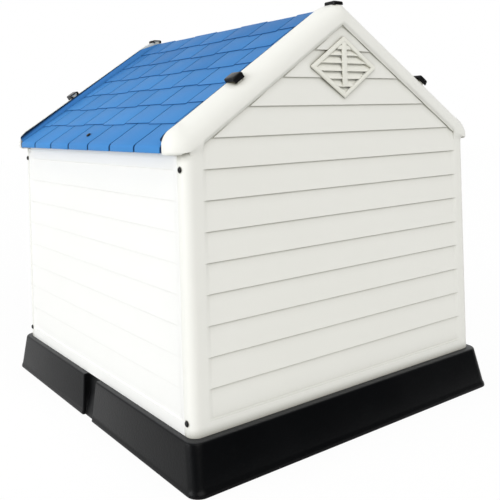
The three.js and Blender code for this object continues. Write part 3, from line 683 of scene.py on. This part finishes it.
def side_panel():
    field, fade = PANEL_END - 9.0, 4.0
    stations = [-PANEL_END, -PANEL_END + 0.5, -301.0, -300.95]
    stations += [-field + shift for shift in (-fade, -2.0, 0.0, 2.0, fade)]
    ys = sorted(set(stations + [-y for y in stations] + [25.0 * i for i in range(-11, 12)]))
    outer = [(SIDE_FACE - (0.5 if abs(y) == PANEL_END else 0.0), y) for y in ys]
    marks = [eased((field + fade - abs(y)) / (2 * fade)) for y in ys]
    inner = [(SIDE_INNER, PANEL_END), (SIDE_INNER, -PANEL_END)]
    slab = sided_slab(outer, inner, siding_heights(WALL_FOOT, 497.0), marks,
                      (-1.0, 0.0, 0.0), 475.25)
    bed = RIDGE - ROOF_BED / COS
    room = upright([(250, bed - TAN * 250), (350, bed - TAN * 350), (350, 600), (250, 600)],
                   -400, 400)
    ends = [block(250, 400, y0, y1, 469.9, 600) for y0, y1 in ((300.7, 400), (-400, -300.7))]
    rail = block(TONGUE_BACK, SIDE_INNER + 1, -PANEL_END, PANEL_END, WALL_FOOT, FIRST_LINE)
    tongues = [block(TONGUE_BACK, TONGUE_BACK + 6, y0, y1, WALL_FOOT, 458.5)
               for y0, y1 in ((298.0, 320.4), (-320.4, -298.0))]
    boss = block(287, 310, -8, 8, 454.5, 484.0)
    slab = combined(slab, "DIFFERENCE", room, *ends)
    return combined(slab, "UNION", rail, *tongues, boss)


# The lit copy of the gables' white: whiter, and with no painted shade in its crevices.
side_white_lit_copy = moulded("white side plastic, lit copy", (0.892, 0.89, 0.872), (0.88, 0.878, 0.855),
                       (0.93, 0.93, 0.9), 0.46, **wall_skin)
right_panel = side_panel()
fitted("right_side_moulding", right_panel, side_white_lit_copy, "wall_plastic", "side_wall_right")
fitted("left_side_moulding", turned_round(right_panel), side_white_lit_copy, "wall_plastic",
       "side_wall_left")

# ---- roof panels -----------------------------------------------------------------------
# Two blue moulded panels that meet at the ridge: six courses of lapped shingles, a bottom
# course that bends over the eave in tabs, and an upturned edge beside each rim. The dark
# lines are deep grooves between the shingles, and the skin under them carries painted shade, a
# darker blue.

SLOPE_LENGTH = ROOF_RUN / COS
COURSES, TILES = 7, 7
COURSE = SLOPE_LENGTH / COURSES
BUTT, TILE_SKIN, EDGE_SKIN, ROOF_HALF = 1.4, 1.35, 3.2, 300.7


def tile_form():
    """One shingle, a metre wide so that an instance can be scaled to its place: its lower
    edge is at X = 0 and its upper end slides under the course above."""
    back = -(COURSE + 4.0)
    fall = BUTT / COURSE
    outline = [(0.0, -TILE_SKIN), (0.0, 0.0), (back, fall * back), (back, fall * back - TILE_SKIN)]
    return prism(outline, lambda a, b, y: (a, y, b), -500.0, 500.0)


def tab_form():
    """One shingle of the bottom course, bent over the fold and down the eave, in place on
    the roof and a metre wide."""
    fall = BUTT / COURSE
    outline = [on_roof(SLOPE_LENGTH - short, -fall * short) for short in (COURSE + 4.0, 30.0, 4.0)]
    outline += [(328.6, 487.35), (330.3, 486.1), (331.7, 484.6), (332.6, 482.9), (333.0, 481.0),
                (333.0, 475.0), (332.7, 474.3), (332.1, 474.05)]
    under = []
    for (x0, z0), (x, z), (x1, z1) in zip(outline[:1] + outline, outline[:-3], outline[1:]):
        size = hypot(x1 - x0, z1 - z0)
        under.append((x + TILE_SKIN * (z1 - z0) / size, z - TILE_SKIN * (x1 - x0) / size))
    under += [(333.0 - TILE_SKIN, height) for height in (475.0, 474.3, 474.05)]

    def narrowed(x, z, y):
        """Narrower down the eave's face, so that the slits between the tabs open."""
        return (x, y * (1.0 - 0.022 * eased((x - 327.5) / 4.0)), z)
    return prism(outline + under[::-1], narrowed, -500.0, 500.0)


def real(tree, geometry):
    return tree.node("GeometryNodeRealizeInstances", {}, {"Geometry": geometry})


def set_out(tree, points, piece, **sockets):
    """Copies of an object on points."""
    form = tree.node("GeometryNodeObjectInfo", {}, {"Object": piece, "As Instance": True})
    return tree.node("GeometryNodeInstanceOnPoints", {}, {
        "Points": points, "Instance": form["Geometry"], **sockets})


def ended(tree, geometry, finish):
    """Ends a Geometry Nodes tree with real geometry in its material."""
    finished = tree.node("GeometryNodeSetMaterial", {}, {
        "Geometry": real(tree, geometry), "Material": finish})
    tree.node("NodeGroupOutput", {}, {"Geometry": finished})
    return tree.tree


def shingle_tree():
    """Geometry Nodes tree that lays the courses: each course is half a shingle over from
    the last, the end ones are cut to the edges, and lower edges step in and out a little."""
    tree, sizes = new_group(
        "shingle courses", ("Object", ["Tile", "Tab"]), ("Int", ["Courses", "Tiles", "Seed"]),
        ("Float", ["Course Length", "Slope Length", "Roof Half", "Tile Pitch", "Gap", "Slit", "Jog",
                   "Slope Angle", "Ridge", "Ridge Gap"]), ("Material", ["Finish"]))
    pitch, limit, seed = sizes["Tile Pitch"], sizes["Roof Half"], sizes["Seed"]
    per_course = sizes["Tiles"] + 1.0
    index = tree.node("GeometryNodeInputIndex")
    course = (index / per_course).maths("FLOOR")
    place = index - course * per_course
    left = pitch * (place - course.maths("MODULO", 2.0) * 0.5) - pitch * sizes["Tiles"] / 2.0
    low = left.maths("MAXIMUM", 0.0 - limit)
    high = (left + pitch).maths("MINIMUM", limit)
    bottom = course.maths("LESS_THAN", 0.5)
    width = high - low - (sizes["Gap"] + (sizes["Slit"] - sizes["Gap"]) * bottom)
    wide_enough = width.maths("GREATER_THAN", 0.006)
    step = ((place + course).maths("MODULO", 2.0) - 0.5) * sizes["Jog"]
    wander = tree.node("FunctionNodeRandomValue", {"data_type": "FLOAT"},
                       {2: -0.0004, 3: 0.0004, "ID": index, "Seed": seed})
    along = sizes["Slope Length"] - course * sizes["Course Length"]
    along = along + (step + wander) * (1.0 - bottom)
    tone_and_shade = tree.node("FunctionNodeRandomValue", {"data_type": "FLOAT"},
                     {2: 0.0, 3: 0.3, "ID": index, "Seed": seed + 7.0})
    grid = tree.node("GeometryNodePoints", {}, {"Count": sizes["Courses"] * per_course})
    # painted shade: the courses darken towards the ridge, on top of the random tone
    tone_and_shade = tone_and_shade + (course / sizes["Courses"]) * 0.85
    toned = tree.node("GeometryNodeStoreNamedAttribute", {"data_type": "FLOAT", "domain": "POINT"},
                      {"Geometry": grid, "Name": "tile_tone", "Value": tone_and_shade})
    placed = tree.node("GeometryNodeSetPosition", {}, {
        "Geometry": toned, "Position": tree.xyz(along * (1.0 - bottom), (low + high) / 2.0)})
    # the top course ends short of the ridge, so that it doesn't cross it
    top = course.maths("GREATER_THAN", sizes["Courses"] - 1.5)
    size = tree.xyz(1.0 - top * (sizes["Ridge Gap"] / sizes["Course Length"]), width, 1.0)
    tiles = set_out(tree, placed, sizes["Tile"], Selection=(1.0 - bottom) * wide_enough, Scale=size)
    tabs = set_out(tree, placed, sizes["Tab"], Selection=bottom * wide_enough, Scale=size)
    leaned = tree.node("GeometryNodeTransform", {}, {
        "Geometry": real(tree, tiles), "Translation": tree.xyz(z=sizes["Ridge"]),
        "Rotation": tree.xyz(y=sizes["Slope Angle"])})
    joined = tree.node("GeometryNodeJoinGeometry")
    for half in (leaned, real(tree, tabs)):
        tree.tree.links.new(half.socket, joined.socket.node.inputs["Geometry"])
    return ended(tree, joined, sizes["Finish"])


def roof_skin():
    """The panel under the shingles with its eave lip, and the upturned edges."""
    top, low = -2.95, -4.0
    outline = [on_roof(0.0, low), on_roof(SLOPE_LENGTH - 7.0, low)]
    outline += [(327.6, 482.5), (329.2, 480.5), (330.2, 478.0), (330.2, 474.3), (331.55, 474.3),
                (331.55, 481.0), (331.0, 482.6), (330.0, 484.0), (328.4, 485.2)]
    outline += [on_roof(SLOPE_LENGTH - 5.0, top), on_roof(0.0, top)]
    tail = [(326.5, 474.3), (331.6, 474.3), (331.6, 483.2), (330.2, 485.0), (326.5, 486.6)]
    edges = []
    for side in (1, -1):
        inner, outer = side * (ROOF_HALF - EDGE_SKIN), side * ROOF_HALF
        middle = (inner + outer) / 2
        section = [(inner, -3.9), (inner, 10.2), ((inner * 3 + middle) / 4, 11.1), (middle, 11.5),
                   ((outer * 3 + middle) / 4, 11.1), (outer, 10.2), (outer, -3.9)]
        rings = []
        for short in (SLOPE_LENGTH, 16.0, 9.0, 4.0, 1.0):
            sink = 0.0 if short > 15 else (16.0 - short) ** 2 * 0.012
            points = [(y, on_roof(SLOPE_LENGTH - short, over - (sink if over > 0 else 0.0)))
                      for y, over in section]
            rings.append([(x, y, z) for y, (x, z) in points])
        edges += [lofted(rings), upright(tail, *sorted((inner, outer - side * 0.9)))]
    panel = combined(upright(outline, 1.0 - ROOF_HALF, ROOF_HALF - 1.0), "UNION", *edges)
    # it ends at the ridge and the eave, and the upturned edges taper off near the ridge
    taper = upright([(-1, 704.8), (52, 686.5), (52, 900), (-1, 900)], -400, 400)
    return combined(panel, "DIFFERENCE", block(-400, 0.15, -400, 400, 0, 900),
                    block(332.9, 400, -400, 400, 0, 900), taper)


def bevelled(mesh, width):
    """The mesh with its hard edges rounded."""
    holder = in_scene("holder", mesh)
    rounding = holder.modifiers.new("round", "BEVEL")
    rounding.width, rounding.segments = width, 2
    rounding.limit_method, rounding.angle_limit = "ANGLE", radians(40)
    result = evaluated(holder)
    result.shade_smooth()
    result.set_sharp_from_angle(angle=radians(50))
    return result


def merged(name, *meshes):
    """Several meshes as one, with their materials kept."""
    parts = [in_scene(name, mesh) for mesh in meshes]
    with bpy.context.temp_override(active_object=parts[0], selected_editable_objects=parts,
                                   selected_objects=parts):
        bpy.ops.object.join()
    mesh = parts[0].data
    bpy.data.objects.remove(parts[0])
    return mesh


# Navy painted shade in the crevices between the shingles; the tile attribute adds painted shade to
# the courses towards the ridge.
blue_plastic = moulded("blue roof plastic", (0.064, 0.272, 0.655), (0.058, 0.253, 0.615),
                       (0.14, 0.38, 0.70), 0.55, cloud=6.0, pebble=500.0, pebble_depth=0.00004,
                       sag_depth=0.0006, rub=0.4, gloss=0.05,
                       tone_and_shade=("tile_tone", (0.028, 0.145, 0.405)),
                       crevice_shade=(0.004, (0.008, 0.045, 0.15), 1.1))
# painted shade: the skin in the gaps and slits is coloured darker than its own blue
groove_shade_plastic = moulded("blue plastic with painted groove shade", (0.005, 0.022, 0.075),
                         (0.004, 0.018, 0.065), (0.02, 0.06, 0.15), 0.6,
                         pebble_depth=0.00004, gloss=0.1)


def roof_edge_plastic():
    """The upturned edges' plastic: roof blue, but with painted shade along the top, most at the
    eave.
    """
    material = moulded("blue plastic of the roof edges with painted shade", (0.068, 0.255, 0.59), (0.062, 0.238, 0.56),
                       (0.14, 0.38, 0.70), 0.6, pebble_depth=0.00004, gloss=0.02)
    tree = Tree(material.node_tree)
    place = tree.node("ShaderNodeTexCoord")["Object"]
    x = place.axis("X").maths("ABSOLUTE")
    fall = place.axis("Z") - RIDGE * 0.001
    over = x * sin(SLOPE) + fall * COS
    share = ((x * COS - fall * sin(SLOPE)) / (SLOPE_LENGTH * 0.001)).held()
    # painted shade: a dark band along the top of the edge, widest at the eave
    band = 0.002 + (share ** 2.2) * 0.008
    dark = ((over - 0.0115 + band) / (0.0012 + band * 0.5)).held()
    plastic = next(node for node in material.node_tree.nodes if node.type == "BSDF_PRINCIPLED")
    base = Wire(tree, plastic.inputs["Base Color"].links[0].from_socket)
    shaded = tree.mixed(dark * 0.97, base, (0.004, 0.014, 0.035))
    material.node_tree.links.new(shaded.socket, plastic.inputs["Base Color"])
    return material


FIELD_HALF = ROOF_HALF - EDGE_SKIN - 0.1
forms = [in_scene("tile form", tile_form()), in_scene("tab form", tab_form())]
shingles = grown(shingle_tree(), {
    "Tile": forms[0], "Tab": forms[1], "Courses": COURSES, "Tiles": TILES, "Seed": 4,
    "Course Length": COURSE * 0.001, "Slope Length": SLOPE_LENGTH * 0.001,
    "Roof Half": FIELD_HALF * 0.001, "Tile Pitch": 2 * RIM_INNER / TILES * 0.001, "Gap": 0.0030,
    "Slit": 0.0038, "Jog": 0.003, "Ridge Gap": 0.0064, "Slope Angle": SLOPE,
    "Ridge": RIDGE * 0.001, "Finish": blue_plastic})
for form in forms:
    bpy.data.objects.remove(form)
skin = roof_skin()
for finish in (blue_plastic, groove_shade_plastic, roof_edge_plastic()):
    skin.materials.append(finish)
# Skin faces that show in the gaps, slits and eave get the painted groove shade; the upturned edges
# get their own plastic with painted shade along the top.
EAVE_FACE = 0.3295
for polygon in skin.polygons:
    if abs(polygon.center.y) > FIELD_HALF * 0.001:
        polygon.material_index = 2 if polygon.center.x < EAVE_FACE else 1
    elif polygon.normal.x > 0.3 and polygon.normal.z > -0.1:
        polygon.material_index = 1
right_roof = merged("roof", bevelled(shingles, 0.0004), skin)
fitted("right_roof_moulding", right_roof, blue_plastic, "roof_plastic", "roof_panel_right")
fitted("left_roof_moulding", turned_round(right_roof), blue_plastic, "roof_plastic",
       "roof_panel_left")

# ---- vents -----------------------------------------------------------------------------
# A cream louvre snapped into the top of each gable: a rounded diamond frame, sloping
# blades that fill it, a flat bar down the middle and a small arched blind piece on top.


def vent_frame():
    """The diamond frame with its spigot, as one closed ring with softened corners."""
    section = [(7.5, 331.5), (7.5, 333.0), (7.0, 333.9), (6.0, 334.35), (4.4, 334.5), (2.4, 334.35),
               (1.0, 333.8), (0.2, 332.7), (0.0, 331.4), (0.2, 330.9), (5.0, 330.9), (5.0, 322.4),
               (5.4, 322.0), (7.1, 322.0), (7.5, 322.4)]
    lean = degrees(atan2(VENT_HALF_HEIGHT, VENT_HALF_WIDTH))
    turns = [lean - 90, 90 - lean, 90 + lean, 270 - lean, 270 + lean]
    rings = []
    for i in range(4):
        for step in range(7):
            angle = radians(turns[i] + (turns[i + 1] - turns[i]) * step / 6)
            ring = []
            for margin, y in section:
                radius = max(2.6 - margin, 0.8)
                x, z = diamond(margin + radius)[i]
                ring.append((x + radius * cos(angle), y, z + radius * sin(angle)))
            rings.append(ring)
    return lofted(rings, closed=True)


def louvre_tree():
    """Geometry Nodes tree that fills a diamond with blades, each as long as its place."""
    tree, sizes = new_group(
        "louvre blades", ("Object", ["Blade"]), ("Int", ["Count"]),
        ("Float", ["Pitch", "Centre", "Half Width", "Half Height", "Blade Rise", "Root"]),
        ("Material", ["Finish"]))
    index = tree.node("GeometryNodeInputIndex")
    height = sizes["Centre"] + (index - sizes["Count"] / 2.0) * sizes["Pitch"]
    away = (height + sizes["Blade Rise"] / 2.0 - sizes["Centre"]).maths("ABSOLUTE")
    length = sizes["Half Width"] * (1.0 - away / sizes["Half Height"]).held() + sizes["Root"]
    points = tree.node("GeometryNodePoints", {}, {
        "Count": sizes["Count"], "Position": tree.xyz(z=height)})
    blades = set_out(tree, points, sizes["Blade"], Scale=tree.xyz(length, 1.0, 1.0))
    return ended(tree, blades, sizes["Finish"])


# Painted shade darkens the crevices and the slots between the blades.
cream_plastic = moulded("cream vent plastic", (0.865, 0.86, 0.79), (0.84, 0.835, 0.755),
                        (0.93, 0.92, 0.86), 0.45, cloud=30.0, pebble=900.0, pebble_depth=0.00003,
                        rub=0.3, gloss=0.3, crevice_shade=(0.0045, (0.17, 0.16, 0.09), 0.55))


def louvre_blade():
    """One blade, a metre to each side: its lower edge in front, its upper edge inside."""
    section = [(333.0, 0.5), (332.6, 0.05), (331.9, 0.0), (325.7, 11.3), (325.4, 12.2),
               (325.4, 13.1), (325.9, 13.6), (332.7, 2.1), (333.0, 1.6)]
    return prism(section, lambda y, z, x: (x, y, z), -1000.0, 1000.0)


def vent():
    blade = in_scene("blade", louvre_blade())
    inset = diamond(7.0)
    blades = grown(louvre_tree(), {
        "Blade": blade, "Count": 7, "Pitch": 0.013, "Centre": VENT_HEIGHT * 0.001,
        "Half Width": inset[0][0] * 0.001, "Half Height": (inset[1][1] - VENT_HEIGHT) * 0.001,
        "Blade Rise": 0.0135, "Root": 0.012, "Finish": cream_plastic})
    bpy.data.objects.remove(blade)
    inside = upright(diamond(6.6), 318.0, 340.0)
    bar = block(-5.5, 5.5, 331.5, 333.9, 569, 653)
    # arched blind piece over the top slots
    crest = [(15.0 * x, 631.0 + 8.0 * z) for x, z in arc(0, 0, 1, 0, 180, 20)]
    parts = [vent_frame(), combined(blades, "INTERSECT", inside)]
    parts += [bevelled(combined(flat, "INTERSECT", inside), 0.0006)
              for flat in (bar, upright(crest, 331.2, 333.7))]
    for piece in parts:
        piece.materials.clear()
        piece.materials.append(cream_plastic)
    return merged("vent", *parts)


back_vent = vent()
fitted("back_vent_louvre", back_vent, cream_plastic, "vent_plastic", "back_vent")
fitted("front_vent_louvre", turned_round(back_vent), cream_plastic, "vent_plastic", "front_vent")

# ---- roof latches ----------------------------------------------------------------------
# Six glossy black saddles, injection-moulded, that slide on the white T-rails: C-shaped in
# section, open at the inner end where they lap over the roof panel, closed at the outer.

LATCH_HALF, LATCH_HEIGHT = 10.3, 6.4
LATCH_INNER, LATCH_RIDE = RIM_INNER - 2.2, 0.4


def latch_form(end_drop):
    """A latch in its own frame: X across, Y outwards, Z up from the rim's surface."""
    half = [(LATCH_HALF, 0), (LATCH_HALF, 4.6), (9.5, 5.8), (8.3, 6.25), (4.5, LATCH_HEIGHT)]
    rings = []
    for y, sink, narrow in [(0.0, 0.5, 0.4), (0.5, 0.15, 0.1), (1.4, 0.0, 0.0), (21.4, 0.0, 0.0),
                            (23.2, 0.4, 0.1), (24.1, 1.1, 0.4), (24.6, 2.2, 0.9)]:
        rings.append([(x - copysign(narrow, x), y, z - (sink if z > 1 else 0.0))
                      for x, z in half + mirrored(half)])
    latch = lofted(rings)
    if end_drop:
        end_wall = block(0.6 - LATCH_HALF, LATCH_HALF - 0.6, 22.1, 24.4, -end_drop, 3.5)
        latch = combined(latch, "UNION", end_wall)
    cavity = block(-7.8, 7.8, -1.0, 22.1, 1.9, 4.3)
    neck = block(-5.3, 5.3, -1.0, 22.1, -1.0, 2.5)
    mouth = lofted([[(-wide, y, low), (wide, y, low), (wide, y, high), (-wide, y, high)]
                    for y, wide, low, high in [(-1.0, 9.3, 0.9, 5.3), (2.6, 9.3, 0.9, 5.3),
                                               (4.6, 7.8, 1.9, 4.3)]])
    return bevelled(combined(latch, "DIFFERENCE", cavity, neck, mouth), 0.0005)


def out_of_roof(side):
    """The way that a slope's surface faces."""
    return Vector((side * sin(SLOPE), 0, cos(SLOPE)))


black_gloss = moulded("black latch plastic", (0.0055, 0.0055, 0.006), (0.008, 0.008, 0.0085),
                      (0.03, 0.03, 0.032), 0.2, cloud=60.0, pebble=900.0, pebble_depth=0.00003,
                      rub=0.5, gloss=0.12)
for gable, end in (("back", 1), ("front", -1)):
    for side in (0, 1, -1):
        seat = Vector((0, LATCH_INNER, APEX + LATCH_RIDE))
        if side:
            seat = Vector((side * LATCH_X, LATCH_INNER, RIDGE - LATCH_X * TAN))
            seat += out_of_roof(side) * (RIM_PROUD + LATCH_RIDE)
        latch = latch_form(4.0 if side else 0.0)
        latch.transform(Matrix.Translation(seat * 0.001) @ Matrix.Rotation(side * SLOPE, 4, "Y"))
        node = f"{gable}_{('ridge', 'right', 'left')[side * end]}_latch"
        fitted(f"{node}_saddle", latch if end > 0 else turned_round(latch), black_gloss,
               "latch_plastic", node, body=f"{node}_slide_body")

# ---- screws ----------------------------------------------------------------------------
# Ten black self-tapping pan-head screws: two at each corner through the gable's return
# into the side panel's tongue, and one through the middle of each eave into its boss.


def screw_form():
    """One screw standing along +Z with the underside of its head at 0."""
    profile = [(0.001, -13.0), (0.6, -13.0), (2.0, -10.0), (2.0, 0.0), (4.0, 0.0), (4.25, 0.25),
               (4.25, 0.9), (4.05, 1.45), (3.6, 1.9), (2.9, 2.2), (1.8, 2.36), (0.001, 2.4)]
    screw = lofted([[(x, y, height) for x, y in arc(0, 0, radius, 0, 345, 23)]
                    for radius, height in profile])
    slots = [block(-2.1, 2.1, -0.45, 0.45, 1.1, 4.0), block(-0.45, 0.45, -2.1, 2.1, 1.1, 4.0)]
    return combined(screw, "DIFFERENCE", *slots)


def screw_tree():
    """Geometry Nodes tree that sets a screw on every point, turned to face its way out."""
    tree, sizes = new_group("screws", ("Geometry", ["Geometry"]), ("Object", ["Screw"]),
                            ("Int", ["Seed"]), ("Material", ["Finish"]))
    aim = tree.node("FunctionNodeAlignRotationToVector", {"axis": "Z"},
                    {"Vector": stored(tree, "way_out", "FLOAT_VECTOR")})
    spin = tree.node("FunctionNodeRandomValue", {"data_type": "FLOAT"},
                     {2: 0.0, 3: 3.0, "Seed": sizes["Seed"]})
    set_in = set_out(tree, sizes["Geometry"], sizes["Screw"], Rotation=aim)
    driven = tree.node("GeometryNodeRotateInstances", {}, {
        "Instances": set_in, "Rotation": tree.xyz(z=spin)})
    return ended(tree, driven, sizes["Finish"])


EAVE_SCREW_X, SCREW_SINK, EAVE_SCREW_RISE = 311.0, 0.3, 0.3
spots, ways, names = [], [], []
for hand, side in (("right", 1), ("left", -1)):
    for gable, end in (("back", 1), ("front", -1)):
        for level, height in zip(("lower", "upper"), SCREW_HEIGHTS):
            spots.append(Vector((side * (SIDE_FACE - SCREW_SINK), end * SCREW_Y, height)))
            ways.append((side, 0.0, 0.0))
            names.append(f"{gable}_{hand}_{level}_screw")
    out = out_of_roof(side)
    seat = Vector((side * EAVE_SCREW_X, 0, RIDGE - EAVE_SCREW_X * TAN))
    spots.append(seat + out * EAVE_SCREW_RISE)
    ways.append(tuple(out))
    names.append(f"{hand}_roof_screw")
points = bpy.data.meshes.new("screw spots")
points.from_pydata([spot * 0.001 for spot in spots], [], [])
ways_out = points.attributes.new("way_out", "FLOAT_VECTOR", "POINT")
ways_out.data.foreach_set("vector", [value for way in ways for value in way])
screw_piece = in_scene("screw form", screw_form())
black_steel = moulded("black oxide screw steel", (0.004, 0.004, 0.005), (0.006, 0.006, 0.007),
                      (0.05, 0.05, 0.05), 0.3, cloud=200.0, pebble=1500.0, pebble_depth=0.00002,
                      rub=0.5, gloss=0.2)
screws = grown(screw_tree(), {"Screw": screw_piece, "Seed": 3, "Finish": black_steel}, points)
bpy.data.objects.remove(screw_piece)
screws.shade_smooth()
screws.set_sharp_from_angle(angle=radians(35))
fitted("screws", screws, black_steel, "screw_steel", *names)

# ---- floor, light and camera -----------------------------------------------------------
# A white studio: a wide pale floor that stays white to the eye but keeps the shadow, one
# soft cool lamp from the long side and a warmer one from the plain gable.


def white_to_the_eye(tree):
    """1 where the camera looks straight, or by a reflection or through glass; else 0."""
    path = tree.node("ShaderNodeLightPath")
    seen = path["Is Camera Ray"] + path["Is Glossy Ray"] + path["Is Transmission Ray"]
    return seen.held()


WHITE = (1.0, 1.0, 1.0, 1.0)
floor_finish = bpy.data.materials.new("studio floor")
tree = emptied(floor_finish)
place = tree.node("ShaderNodeTexCoord")["Object"]
paper = tree.mixed(tree.noise(place, 3.0), (0.8, 0.8, 0.79), (0.82, 0.82, 0.81))
matte = tree.node("ShaderNodeBsdfDiffuse", {}, {"Color": paper})
glow = tree.node("ShaderNodeEmission", {}, {"Color": WHITE, "Strength": 1.025})
share = white_to_the_eye(tree) * 0.92
paper_floor = tree.node("ShaderNodeMixShader", {}, {0: share, 1: matte, 2: glow})
# a painted dark reflection: a dark mat in front of the gable, seen only in reflections
dark_reflection_mat = ((place.axis("Y") - 0.37) * 8.0).held() * tree.node("ShaderNodeLightPath")["Is Glossy Ray"]
black = tree.node("ShaderNodeEmission", {}, {"Color": WHITE, "Strength": 0.02})
tree.node("ShaderNodeOutputMaterial", {}, {
    "Surface": tree.node("ShaderNodeMixShader", {}, {0: dark_reflection_mat * 0.95, 1: paper_floor, 2: black})})
ground = bpy.data.meshes.new("studio floor")
ground.from_pydata([(-9, -9, 0), (9, -9, 0), (9, 9, 0), (-9, 9, 0)], [], [(0, 1, 2, 3)])
ground.materials.append(floor_finish)
floor = in_scene("studio_floor", ground)

world = bpy.data.worlds.new("studio")
bpy.context.scene.world = world
tree = emptied(world)
# a painted dark reflection: a dark card beside the gable, seen only in reflections
gable_way = tree.node("ShaderNodeTexCoord")["Generated"].axis("Y")
dark_reflection_card = ((gable_way - 0.25) * 4.0).held() * tree.node("ShaderNodeLightPath")["Is Glossy Ray"]
level = (0.5 + white_to_the_eye(tree) * 0.5) * (1.0 - dark_reflection_card * 0.92)
tree.node("ShaderNodeOutputWorld", {}, {
    "Surface": tree.node("ShaderNodeBackground", {}, {"Color": WHITE, "Strength": level})})


def sun(name, toward, strength, colour, spread):
    """A distant soft lamp that shines from `toward` onto the house."""
    lamp = bpy.data.lights.new(name, "SUN")
    lamp.energy, lamp.color, lamp.angle = strength, colour, radians(spread)
    holder = in_scene(name, lamp)
    holder.rotation_mode = "QUATERNION"
    holder.rotation_quaternion = Vector(toward).to_track_quat("Z", "Y")


sun("long side lamp", (0.93, -0.28, 0.17), 1.66, (0.97, 0.988, 1.0), 35)
sun("gable lamp", (0.25, 0.80, 0.55), 1.30, (1.0, 0.995, 0.975), 45)

lens = bpy.data.cameras.new("photo view")
lens.lens, lens.sensor_width, lens.shift_y = 51.06, 36.0, -0.2606
camera = in_scene("photo view", lens)
right = Vector((-0.8049, 0.5927, -0.0285)).normalized()
forward = Vector((-0.5929, -0.8053, -0.0008)).normalized()
up = right.cross(forward).normalized()
right = forward.cross(up)
turn = Matrix((right, up, -forward)).transposed()
camera.matrix_world = Matrix.Translation((0.8283, 1.1883, 0.5196)) @ turn.to_4x4()
bpy.context.scene.camera = camera
bpy.context.scene.view_settings.view_transform = "Standard"
